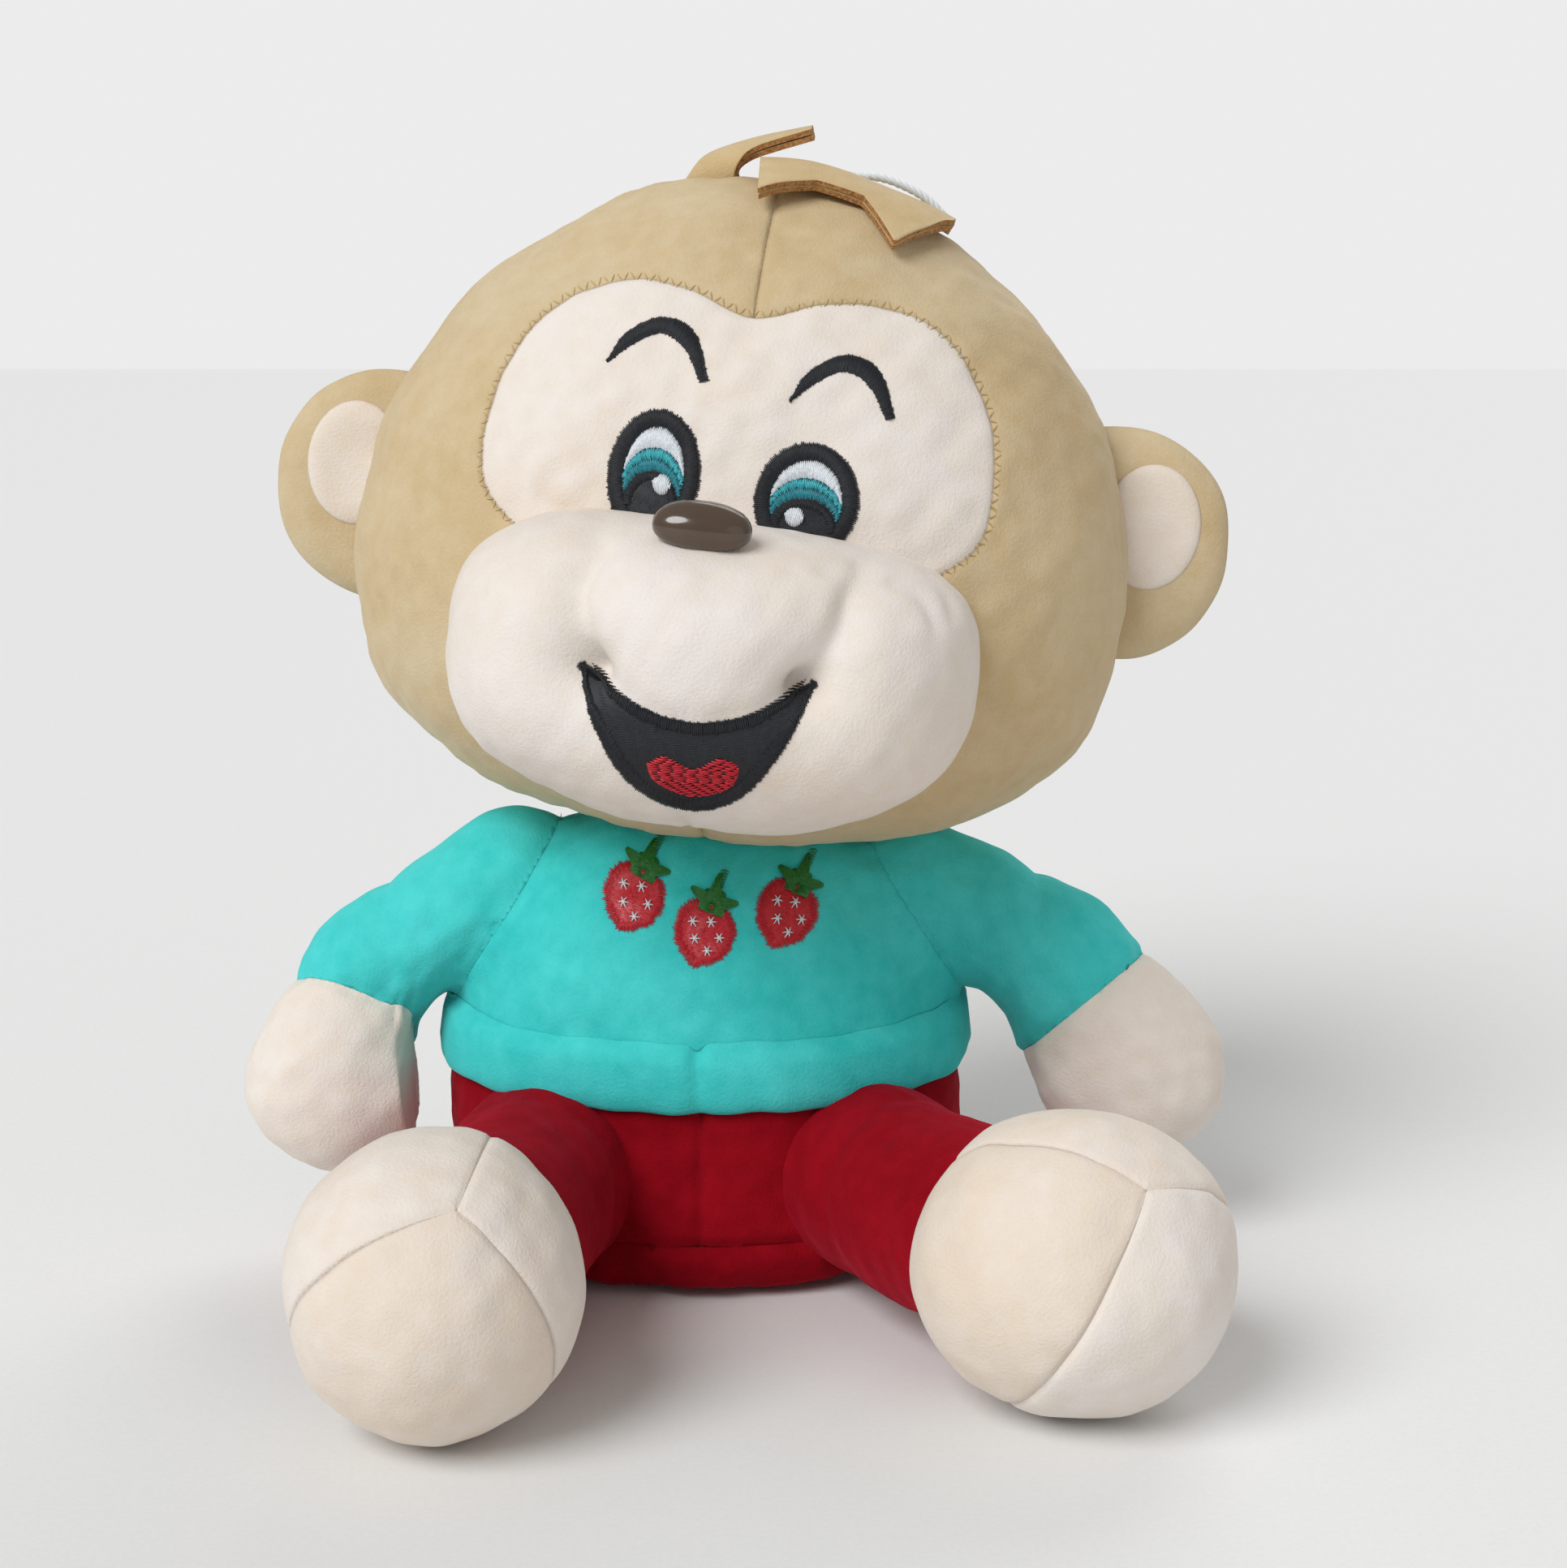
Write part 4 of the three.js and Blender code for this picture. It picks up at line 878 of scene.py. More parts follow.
lap = closed_path([(x, z) for x, z in FACE_HALF] + [(-x, z) for x, z in FACE_HALF[-2:0:-1]], 720)
lap_turn = np.unwrap(np.arctan2(lap[:, 1] - FACE_MIDDLE[1], lap[:, 0] - FACE_MIDDLE[0]))
lap_reach = np.linalg.norm(lap - FACE_MIDDLE, axis=1)
order = np.argsort(lap_turn % (2 * np.pi))
turns = 2 * np.pi * np.arange(HEAD_TURNS) / HEAD_TURNS
face_reach = np.interp(turns, (lap_turn % (2 * np.pi))[order], lap_reach[order], period=2 * np.pi)
spoke = np.stack([np.cos(turns), np.sin(turns)], -1)
outline = FACE_MIDDLE + spoke * face_reach[:, None]
outline[np.abs(np.cos(turns)) < 1e-9, 0] = 0

shares = np.linspace(0, 1, FACE_RINGS + 1)
flat = FACE_MIDDLE + shares[:, None, None] * (outline - FACE_MIDDLE)
face_points = front_of(HEAD, HEAD_WIDEST, flat.reshape(-1, 2)).reshape(FACE_RINGS + 1, HEAD_TURNS, 3)



def in_seam_plane(reach):
    """Points of the crown seam's plane at a reach along each spoke."""
    return np.stack([reach * spoke[:, 0], np.full(HEAD_TURNS, float(CROWN_SEAM_Y)), reach * spoke[:, 1]], -1)


low, high = np.zeros(HEAD_TURNS), np.full(HEAD_TURNS, 120.0)
for _ in range(50):
    half = (low + high) / 2
    inside = reach_of(HEAD, in_seam_plane(half)) > 1
    low, high = np.where(inside, half, low), np.where(inside, high, half)
seam_rays = in_seam_plane(low)
crown_rays = between(face_points[-1] - HEAD_WIDEST, seam_rays, np.linspace(0, 1, CROWN_RINGS + 1))
back_pole = np.tile([0.0, HEAD["depth"], 0.0], (HEAD_TURNS, 1))
back_rays = between(seam_rays, back_pole, np.linspace(0, 1, BACK_RINGS + 1))


def on_head(rays):
    shape = rays.shape
    rays = rays.reshape(-1, 3)
    return (HEAD_WIDEST + rays * reach_of(HEAD, rays)[:, None]).reshape(shape)


head_parts = {"face": face_points, "crown": on_head(crown_rays), "back": on_head(back_rays)}
face_seam, crown_seam = head_parts["face"][-1], head_parts["crown"][-1]
top, bottom = HEAD_TURNS // 4, 3 * HEAD_TURNS // 4
middle_seam = np.concatenate([head_parts["crown"][:, top], head_parts["back"][:, top],
                              head_parts["back"][:, bottom], head_parts["crown"][:, bottom]])


def finer(line, closed=False):
    """More points along a line, for measuring how near a seam is."""
    ends = np.concatenate([line, line[:1]]) if closed else line
    return np.concatenate([ends[:-1], (ends[:-1] + ends[1:]) / 2])


def distance_to(line, spots):
    tree = KDTree(len(line))
    for k, spot in enumerate(line):
        tree.insert(spot, k)
    tree.balance()
    return np.array([tree.find(spot)[2] for spot in spots])


CHEEK_CREASES = [  # polylines in the head's X and Z, with depth and width
    ([(-40, 3), (-29, 0), (-20, -2)], 0.8, 2.2), ([(30, -6), (40, -10)], 0.7, 2.0),
]
for part, grid in head_parts.items():
    spots = grid.reshape(-1, 3)
    outward = (spots - HEAD_WIDEST) / np.array([HEAD["width"], HEAD["depth"], 80]) ** 2
    outward /= np.linalg.norm(outward, axis=1)[:, None]
    sunk = seam_dip(distance_to(finer(face_seam, True), spots), spots, 0.55, 1.1, 0.45, 5, 61)
    sunk += seam_dip(distance_to(finer(crown_seam, True), spots), spots, 1.2, 1.5, 0.8, 6, 62)
    if part != "face":
        sunk += seam_dip(distance_to(finer(middle_seam), spots), spots, 0.5, 0.9, 0.5, 6, 63)
    for crease, depth, width in CHEEK_CREASES:
        path = finer(front_of(HEAD, HEAD_WIDEST, np.array(crease, float)))
        sunk += depth * np.exp(-(near_line(spots, smooth_path(path, 30)) / width) ** 2)
    lumps = 0.5 * waves(spots, 34, 64) + 0.16 * waves(spots, 9, 65)
    head_parts[part] = (spots + outward * (lumps - sunk)[:, None]).reshape(grid.shape)


def head_panel(name, grid, wrap, material, slot, nap_shade_level, *more_nodes):
    """A panel of the head from a part of its grid, riding on the head."""
    ids = np.arange(grid.shape[0] * grid.shape[1]).reshape(grid.shape[:2])
    if wrap:
        ids = np.concatenate([ids, ids[:, :1]], axis=1)
    spots = from_head(grid.reshape(-1, 3))
    panel = cover(name, spots, grid_faces(ids), FABRIC, from_head([0, 0, 0]), material, nap_shade_level)
    attach(panel, "head", slot, name, *more_nodes)
    return panel


halves = {"left": np.arange(bottom, top + HEAD_TURNS + 1) % HEAD_TURNS, "right": np.arange(top, bottom + 1)}
# The last number of each head panel is its level of painted light and shade; the crown on the toy's left is
# set in more shade.
head_panel("face_panel", head_parts["face"], True, cream_velour, "cream_velour", 0.62, "head_stuffing")
for side, columns in halves.items():
    front_nap_shade_level = {"right": 0.5, "left": 0.42}[side]
    head_panel(f"crown_{side}", head_parts["crown"][:, columns], False, tan_velour, "tan_velour", front_nap_shade_level)
    head_panel(f"head_back_{side}", head_parts["back"][:, columns], False, tan_velour, "tan_velour", 0.5)

# ------------------------------------------------------------------ muzzle
# A separate cream pouch, filled hard and sewn over the lower face. Thread pulled through both corners of
# the mouth makes two dimples, so that the upper lip bulges between two cheeks.

MUZZLE = {"width": 57, "depth": 42, "up": 30, "down": 36, "up_power": 3, "down_power": 2.3, "plan": 2.3}
MUZZLE_MIDDLE = np.array([0, -56.0, -26.0])
MUZZLE_TURNS, MUZZLE_RINGS = 240, 110
MUZZLE_OPENING = math.radians(128)  # how far round from its front the pouch reaches before it is sewn down
MOUTH_CORNERS = [(-24.4, -25), (23.8, -23)]
LIP_CREASES = [  # from each mouth corner up and outwards
    ([(-24.4, -25), (-26.4, -17), (-27.2, -9), (-24, -1)], 2.6),
    ([(23.8, -23), (27.4, -15), (30, -6), (30.6, 0)], 2.4),
]
CHIN_DART = [(-0.5, -56), (-0.3, -61)]
CHEEK_PUCKERS = [[(37, -2), (43, -5), (46, -10)], [(41, 1), (47, -3), (49.4, -9)]]

open_angle = np.linspace(0, MUZZLE_OPENING, MUZZLE_RINGS + 1)[:, None]
turn = np.linspace(0, 2 * np.pi, MUZZLE_TURNS, endpoint=False)[None]
rays = np.stack([np.sin(open_angle) * np.cos(turn), -np.cos(open_angle) + 0 * turn,
                 np.sin(open_angle) * np.sin(turn)], -1).reshape(-1, 3)
pouch = MUZZLE_MIDDLE + rays * reach_of(MUZZLE, rays)[:, None]
flat, ahead = pouch[:, [0, 2]], np.clip((-60 - pouch[:, 1]) / 14, 0, 1)


def pull_towards(lines, depth, width):
    """A soft valley along a line drawn on the front of the pouch."""
    return depth * np.exp(-(near_line(flat, smooth_flat(lines, 24)) / width) ** 2)


def smooth_flat(corners, count):
    ring = np.array(corners, float)
    return smooth_path(np.concatenate([ring, np.zeros((len(ring), 1))], axis=1), count)[:, :2]


sunk = np.zeros(len(pouch))
for corner in MOUTH_CORNERS:
    away = np.linalg.norm(flat - np.array(corner), axis=1)
    sunk += 4.4 * np.exp(-(away / 4.8) ** 2) + 3.2 * np.exp(-(away / 11) ** 2)
for crease, depth in LIP_CREASES:
    fade = np.clip((flat[:, 1] + 30) / 10, 0, 1) * np.clip((6 - flat[:, 1]) / 12, 0, 1)
    sunk += fade * (pull_towards(crease, depth, 3.2) + pull_towards(crease, 1.4, 8.0))
sunk += pull_towards([(-24, -25), (-12, -31.5), (0, -33.6), (12, -30.5), (23.8, -23)], 1.5, 4.0)
sunk += pull_towards(CHIN_DART, 0.7, 1.0)
for pucker in CHEEK_PUCKERS:
    sunk += pull_towards(pucker, 0.8, 1.2)
bulge = 3.0 * np.exp(-(((flat[:, 0] - 1) / 20) ** 2 + ((flat[:, 1] + 15) / 13) ** 2))
bulge += 1.6 * np.exp(-(((flat[:, 0] + 38) / 14) ** 2 + ((flat[:, 1] + 28) / 18) ** 2))
bulge += 1.6 * np.exp(-(((flat[:, 0] - 38) / 14) ** 2 + ((flat[:, 1] + 26) / 18) ** 2))
lumps = 0.4 * waves(pouch, 30, 71) + 0.13 * waves(pouch, 8, 72)
seam_side = np.abs(pouch[:, 1] - MUZZLE_MIDDLE[1] - 3)
sunk += 0.35 * np.exp(-(seam_side / 1.0) ** 2)
edge_dip = (1 - ahead) * 0.35 * np.exp(-(seam_side / 1.0) ** 2)
pouch = pouch + rays * (lumps + ahead * (bulge - sunk) - edge_dip)[:, None]
ids = np.arange(len(pouch)).reshape(MUZZLE_RINGS + 1, MUZZLE_TURNS)
muzzle_faces = around(ids)
# The muzzle's level of painted light and shade is the last number.
muzzle = cover("muzzle_cover", from_head(pouch), muzzle_faces, FABRIC, from_head(MUZZLE_MIDDLE), cream_velour,
               0.66)
attach(muzzle, "head", "cream_velour", "muzzle_cover", "muzzle_stuffing")

# ------------------------------------------------------------------ embroidered brows, eyes and mouth
# Machine embroidery in glossy thread. Borders are satin stitches laid side by side across the line, and
# filled areas are rows of long stitches over a flat bed of the same colour.


def thread_material(name, colour, deep, roughness=0.38):
    """Twisted embroidery thread: colour slightly uneven along its length, with fine twist marks."""
    material, shader, twist = mottled(name, deep, colour, 1700, roughness, stops=(0.3, 0.7))
    raise_by(twist, shader, 0.00012, 0.5)
    shader.inputs["Anisotropic"].default_value = 0.5
    return material


black_thread = thread_material("black_satin_thread", (0.012, 0.014, 0.019), (0.004, 0.005, 0.008), 0.62)
white_thread = thread_material("white_satin_thread", (0.80, 0.83, 0.86), (0.60, 0.64, 0.70))
pale_teal_thread = thread_material("pale_teal_satin_thread", (0.055, 0.47, 0.52), (0.03, 0.34, 0.40))
teal_thread = thread_material("deep_teal_satin_thread", (0.02, 0.27, 0.32), (0.01, 0.17, 0.22))
red_thread = thread_material("red_satin_thread", (0.62, 0.012, 0.03), (0.40, 0.005, 0.014))
green_thread = thread_material("green_satin_thread", (0.015, 0.20, 0.025), (0.006, 0.10, 0.012))


def stitch_tree():
    """Edges, one chain for each stitch, become threads that thin towards both ends."""
    group = bpy.data.node_groups.new("stitches", "GeometryNodeTree")
    face = group.interface
    face.new_socket(name="Geometry", in_out="INPUT", socket_type="NodeSocketGeometry")
    for name, value in (("Thread Radius", 0.0002), ("Uneven", 0.15)):
        face.new_socket(name=name, in_out="INPUT", socket_type="NodeSocketFloat").default_value = value
    face.new_socket(name="Seed", in_out="INPUT", socket_type="NodeSocketInt").default_value = 3
    face.new_socket(name="Thread", in_out="INPUT", socket_type="NodeSocketMaterial")
    face.new_socket(name="Geometry", in_out="OUTPUT", socket_type="NodeSocketGeometry")
    add, link = group.nodes.new, group.links.new
    inward, outward = add("NodeGroupInput"), add("NodeGroupOutput")
    chains, sized, round_section, swept = (add(kind) for kind in (
        "GeometryNodeMeshToCurve", "GeometryNodeSetCurveRadius", "GeometryNodeCurvePrimitiveCircle",
        "GeometryNodeCurveToMesh"))
    round_section.inputs["Resolution"].default_value = 6
    round_section.inputs["Radius"].default_value = 1.0
    swept.inputs["Fill Caps"].default_value = True
    along, taper = add("GeometryNodeSplineParameter"), add("ShaderNodeFloatCurve")
    points = taper.mapping.curves[0].points
    points[0].location, points[1].location = (0, 0.45), (1, 0.45)
    points.new(0.12, 1.0)
    points.new(0.88, 1.0)
    taper.mapping.update()
    chance = add("FunctionNodeRandomValue")
    chance.inputs[2].default_value, chance.inputs[3].default_value = -1.0, 1.0
    scaled, offset, product, radius = (add("ShaderNodeMath") for _ in range(4))
    for node, kind in ((scaled, "MULTIPLY"), (offset, "ADD"), (product, "MULTIPLY"), (radius, "MULTIPLY")):
        node.operation = kind
    realize, dressed, shaded = (add(kind) for kind in (
        "GeometryNodeRealizeInstances", "GeometryNodeSetMaterial", "GeometryNodeSetShadeSmooth"))
    link(inward.outputs["Geometry"], chains.inputs["Mesh"])
    link(chains.outputs["Curve"], sized.inputs["Curve"])
    link(along.outputs["Factor"], taper.inputs["Value"])
    link(inward.outputs["Seed"], chance.inputs["Seed"])
    link(chance.outputs[1], scaled.inputs[0])
    link(inward.outputs["Uneven"], scaled.inputs[1])
    link(scaled.outputs[0], offset.inputs[0])
    offset.inputs[1].default_value = 1.0
    link(taper.outputs["Value"], product.inputs[0])
    link(offset.outputs[0], product.inputs[1])
    link(product.outputs[0], radius.inputs[0])
    link(inward.outputs["Thread Radius"], radius.inputs[1])
    link(sized.outputs["Curve"], swept.inputs["Curve"])
    link(round_section.outputs["Curve"], swept.inputs["Profile Curve"])
    if "Scale" in swept.inputs:
        link(radius.outputs[0], swept.inputs["Scale"])
    else:
        link(radius.outputs[0], sized.inputs["Radius"])
    link(swept.outputs["Mesh"], shaded.inputs["Geometry"])
    link(shaded.outputs["Geometry"], realize.inputs["Geometry"])
    link(realize.outputs["Geometry"], dressed.inputs["Geometry"])
    link(inward.outputs["Thread"], dressed.inputs["Material"])
    link(dressed.outputs["Geometry"], outward.inputs["Geometry"])
    return group


STITCHES = stitch_tree()
INPUTS = {item.name: item.identifier for item in STITCHES.interface.items_tree if item.in_out == "INPUT"}


class Cloth:
    """A finished piece of fabric that stitches and patches are laid on from the front."""

    def __init__(self, points, patches, to_toy, back=False):
        self.tree = BVHTree.FromPolygons([Vector(p) for p in np.asarray(points).tolist()],
                                         [list(map(int, f)) for f in patches])
        self.to_toy, self.way = to_toy, (-1 if back else 1)

    def lay(self, x, z, lift):
        """The spot on the cloth in front of X and Z, raised by lift."""
        spot, normal = hit(self.tree, (x, -200 * self.way, z), (0, self.way, 0))
        if spot is None:
            raise ValueError(f"no cloth in front of {x:.1f}, {z:.1f}")
        if normal[1] * self.way > 0:
            normal = -normal
        return spot + normal * lift


def threads(name, cloth, stitches, radius, material, crown=0.12, seed=3):
    """Stitches from point to point in X and Z, each one thread lying on the cloth."""
    spots, edges = [], []
    for a, b in stitches:
        a, b = np.array(a, float), np.array(b, float)
        steps = max(2, int(np.linalg.norm(b - a) / 1.2) + 1)
        first = len(spots)
        for k in range(steps + 1):
            s = k / steps
            x, z = a + (b - a) * s
            spots.append(cloth.lay(x, z, radius * 0.5 + crown * math.sin(math.pi * s)))
            if k:
                edges.append((first + k - 1, first + k))
    mesh = bpy.data.meshes.new(name)
    mesh.from_pydata((cloth.to_toy(np.array(spots)) * MM).tolist(), edges, [])
    thing = bpy.data.objects.new(name, mesh)
    bpy.context.collection.objects.link(thing)
    rule = thing.modifiers.new("stitches", "NODES")
    rule.node_group = STITCHES
    rule[INPUTS["Thread Radius"]] = radius * MM
    rule[INPUTS["Uneven"]] = 0.15
    rule[INPUTS["Seed"]] = seed
    rule[INPUTS["Thread"]] = material
    return finished(thing)


BED_RINGS = 12


def bed(cloth, outer, inner, lift):
    """Points and faces of a thin closed patch between two outlines with the same number of points."""
    rows = []
    rows.append([cloth.lay(*o, 0.0) for o in outer])
    for share in np.linspace(0.94, 0, BED_RINGS):
        rows.append([cloth.lay(*(i + (o - i) * share), lift) for o, i in zip(outer, inner)])
    rows.append([cloth.lay(*i, -0.4) for i in inner])
    rows.append([cloth.lay(*o, -0.4) for o in outer])
    rows.append(rows[0])
    points = cloth.to_toy(np.array(rows).reshape(-1, 3))
    ids = np.arange(len(points)).reshape(len(rows), len(outer))
    return points, around(ids)


def embroidery(name, body, slot, nodes, layers):
    """One embroidered motif part from its bed and threads, joined as a single piece."""
    joined = bmesh.new()
    materials = []
    for mesh in layers:
        for material in mesh.materials:
            if material not in materials:
                materials.append(material)
    for mesh in layers:
        place_of = [materials.index(m) for m in mesh.materials] or [0]
        before = len(joined.faces)
        joined.from_mesh(mesh)
        joined.faces.ensure_lookup_table()
        for face in joined.faces[before:]:
            face.material_index = place_of[min(face.material_index, len(place_of) - 1)]
            face.smooth = True
        if mesh.users == 0:
            bpy.data.meshes.remove(mesh)
    whole = bpy.data.meshes.new(name)
    joined.to_mesh(whole)
    joined.free()
    for material in materials:
        whole.materials.append(material)
    thing = bpy.data.objects.new(f"sewn_{name}", whole)
    bpy.context.collection.objects.link(thing)
    attach(thing, body, slot, *nodes)
    return thing


def bed_mesh(cloth, outer, inner, material, lift=0.3):
    """A patch of closely laid thread under the stitches."""
    thing = sewn("bed", *bed(cloth, outer, inner, lift), material)
    mesh = thing.data
    bpy.data.objects.remove(thing)
    return mesh


THREAD_RADIUS = 0.24
SATIN_PITCH = 0.40
ragged = np.random.default_rng(17)


def satin_between(upper, lower, slant=0.0, rough=0.35):
    """Stitches from an upper line to a lower one, each a little too long or short at both ends."""
    longer = max(np.linalg.norm(np.diff(line, axis=0), axis=1).sum() for line in (upper, lower))
    count = max(3, int(longer / SATIN_PITCH))
    lines = []
    for line in (upper, lower):
        gone = np.concatenate([[0], np.cumsum(np.linalg.norm(np.diff(line, axis=0), axis=1))])
        at = np.linspace(0, gone[-1], count)
        lines.append(np.stack([np.interp(at, gone, line[:, k]) for k in range(2)], -1))
    made = []
    shift = int(slant * count)
    for k in range(count):
        a, b = lines[0][k], lines[1][min(count - 1, max(0, k + shift))]
        way = (b - a) / max(1e-6, np.linalg.norm(b - a))
        made.append((a - way * ragged.uniform(-0.1, rough), b + way * ragged.uniform(-0.1, rough)))
    return made


def satin_ring(line, width, rough=0.35):
    """Stitches across a closed line."""
    loop = np.concatenate([line, line[:1]])
    side_way = np.gradient(loop, axis=0)
    side_way /= np.linalg.norm(side_way, axis=1)[:, None]
    side_way[0] = side_way[-1] = (side_way[0] + side_way[-1]) / 2
    across = np.stack([side_way[:, 1], -side_way[:, 0]], -1) * width / 2
    return satin_between(loop + across, loop - across, 0, rough)


def rows_inside(outline, angle, pitch, seed, longest=3.2):
    """Rows of stitches filling an outline, running at an angle in degrees, broken like bricks."""
    way = np.array([math.cos(math.radians(angle)), math.sin(math.radians(angle))])
    over = np.array([-way[1], way[0]])
    loop = np.concatenate([outline, outline[:1]])
    along, level = loop @ way, loop @ over
    made = []
    draw = np.random.default_rng(seed)
    for row in np.arange(level.min() + pitch / 2, level.max(), pitch):
        crossing = np.nonzero((level[:-1] - row) * (level[1:] - row) < 0)[0]
        cuts = sorted(along[c] + (along[c + 1] - along[c]) * (row - level[c]) / (level[c + 1] - level[c])
                      for c in crossing)
        for a, b in zip(cuts[::2], cuts[1::2]):
            stops = [a, *np.arange(a + draw.uniform(0.6, 1.0) * longest, b - 0.5, longest), b]
            for s, e in zip(stops, stops[1:]):
                made.append((way * s + over * row, way * (e + 0.12) + over * row))
    return made


def oval(x, z, half_width, half_height, count=96):
    turn = np.linspace(0, 2 * np.pi, count, endpoint=False)
    return np.stack([x + half_width * np.cos(turn), z + half_height * np.sin(turn)], -1)


face_sheet = head_parts["face"]
ids = np.arange(face_sheet.shape[0] * HEAD_TURNS).reshape(face_sheet.shape[:2])
face_faces = around(ids)
face_cloth = Cloth(face_sheet.reshape(-1, 3), face_faces, from_head)
muzzle_cloth = Cloth(pouch, muzzle_faces, from_head)

BROW_TOP = [(-11.2, -5.2), (-8.0, 0.8), (-0.8, 5.0), (6.6, 2.6), (11.2, -6.6)]
BROW_FOOT = [(-11.0, -5.6), (-6.4, -1.4), (-0.4, 1.7), (5.2, -1.0), (9.4, -7.2)]
BROWS = {"right": (-18.6, 38.8), "left": (21.2, 35.4)}
for side in SIDES:
    upper, lower = (smooth_flat(line, 60) + BROWS[side] for line in (BROW_TOP, BROW_FOOT))
    stitches = satin_between(upper, lower, 0.0, 0.3)
    outer = np.concatenate([upper, lower[::-1]])
    inner = np.concatenate([(upper + lower) / 2, ((upper + lower) / 2)[::-1]])
    embroidery(f"brow_{side}", "head", "black_thread", [f"brow_{side}"], [
        bed_mesh(face_cloth, outer, inner, black_thread),
        threads(f"brow_threads_{side}", face_cloth, stitches, THREAD_RADIUS, black_thread, 0.3),
    ])

EYES = {"right": (-16.4, 11.7, 9.9, 13.4), "left": (16.2, 10.0, 11.0, 12.0)}
GLINTS = {"right": (-14.3, 9.9), "left": (14.1, 6.7)}
EYE_BORDER, PUPIL_BORDER = 3.5, 2.3
GLINT_RADIUS = 1.9


def ray_to_oval(start, way, centre, halves):
    """Where a line from start leaves an oval."""
    p, d = (np.array(start) - centre) / halves, np.array(way) / halves
    a, b, c = d @ d, p @ d, p @ p - 1
    root = b * b - a * c
    return np.array(start) + np.array(way) * ((-b + math.sqrt(max(0.0, root))) / a)


for side in SIDES:
    x, z, half_width, half_height = EYES[side]
    inside = (half_width - EYE_BORDER, half_height - EYE_BORDER)
    whites = [np.array([x, z]), np.array(inside)]
    iris = [np.array([x, z - 0.36 * inside[1]]), np.array([inside[0] + 0.5, inside[1] * 0.90])]
    pale = [np.array([x, z - 0.47 * inside[1]]), np.array([inside[0] + 0.2, inside[1] * 0.80])]
    pupil = [np.array([x, z - 0.62 * inside[1]]), np.array([inside[0] * 0.94, inside[1] * 0.70])]
    source = pupil[0]
    fans = {}
    for part, outer_oval, inner_oval in (("white", whites, iris), ("pale", iris, pale),
                                         ("teal", pale, pupil)):
        upper, lower = [], []
        for angle in np.radians(np.linspace(172, 8, 90)):
            way = np.array([math.cos(angle), math.sin(angle)])
            far = ray_to_oval(source, way, *outer_oval)
            edge = ray_to_oval(source, way, *whites)
            near = ray_to_oval(source, way, *inner_oval)
            far = far if np.linalg.norm(far - source) < np.linalg.norm(edge - source) else edge
            if np.linalg.norm(far - source) > np.linalg.norm(near - source) + 0.25:
                upper.append(far)
                lower.append(near)
        fans[part] = (np.array(upper), np.array(lower))
    lens = oval(x, z, half_width - 0.4, half_height - 0.4)
    middle = np.tile([x, z - 2.0], (len(lens), 1))
    ring = oval(x, z, half_width - EYE_BORDER / 2, half_height - EYE_BORDER / 2)
    over_pupil = np.radians(np.linspace(185, -5, 120))
    round_pupil = np.stack([np.cos(over_pupil), np.sin(over_pupil)], -1)
    pupil_upper = pupil[0] + pupil[1] * round_pupil
    pupil_lower = pupil[0] + (pupil[1] - PUPIL_BORDER) * round_pupil
    black = [
        bed_mesh(face_cloth, lens, middle, black_thread),
        threads("eye_border", face_cloth, satin_ring(ring, EYE_BORDER), THREAD_RADIUS, black_thread, 0.45),
        threads("pupil_border", face_cloth, satin_between(pupil_upper, pupil_lower, 0, 0.15), THREAD_RADIUS,
                black_thread, 0.55),
        threads("pupil_fill", face_cloth,
                rows_inside(oval(x, z - 2, inside[0] + 0.4, inside[1] - 1.6), 82, 0.5, 5),
                THREAD_RADIUS * 0.8, black_thread, 0.1),
    ]
    embroidery(f"eye_outline_{side}", "head", "black_thread", [f"eye_outline_{side}"], black)
    gx, gz = GLINTS[side]
    glint = rows_inside(oval(gx, gz, GLINT_RADIUS, GLINT_RADIUS * 1.15), 84, 0.36, 6, 9)
    embroidery(f"eye_white_{side}", "head", "white_thread", [f"eye_white_{side}"], [
        threads("white_fan", face_cloth, satin_between(*fans["white"], 0, 0.2), THREAD_RADIUS,
                white_thread, 0.55),
        threads("glint", face_cloth, glint, THREAD_RADIUS, white_thread, 0.95),
    ])
    embroidery(f"eye_iris_{side}", "head", "teal_thread", [f"eye_iris_{side}"], [
        threads("pale_fan", face_cloth, satin_between(*fans["pale"], 0, 0.5), THREAD_RADIUS,
                pale_teal_thread, 0.6),
        threads("deep_fan", face_cloth, satin_between(*fans["teal"], 0, 0.4), THREAD_RADIUS,
                teal_thread, 0.55),
    ])

MOUTH = [(-24.4, -24.8), (-12, -30.4), (0, -32.6), (12, -29.8), (23.8, -22.8), (18.4, -37), (10.5, -48.5),
         (0, -52.6), (-11, -48), (-19, -37)]
TONGUE = [(-8.4, -42.4), (-4.6, -40.2), (1.2, -42.2), (6.2, -39.4), (10.4, -41), (8.6, -46), (1, -48.6),
          (-6.4, -46.2)]
MOUTH_BORDER = 3.2
mouth_upper = smooth_flat(MOUTH[:5], 80)
mouth_lower = smooth_flat([MOUTH[4], *MOUTH[5:], MOUTH[0]], 120)
mouth_loop = np.concatenate([mouth_upper[:-1], mouth_lower[:-1]])
mouth_middle = np.tile([0, -38.0], (len(mouth_loop), 1))


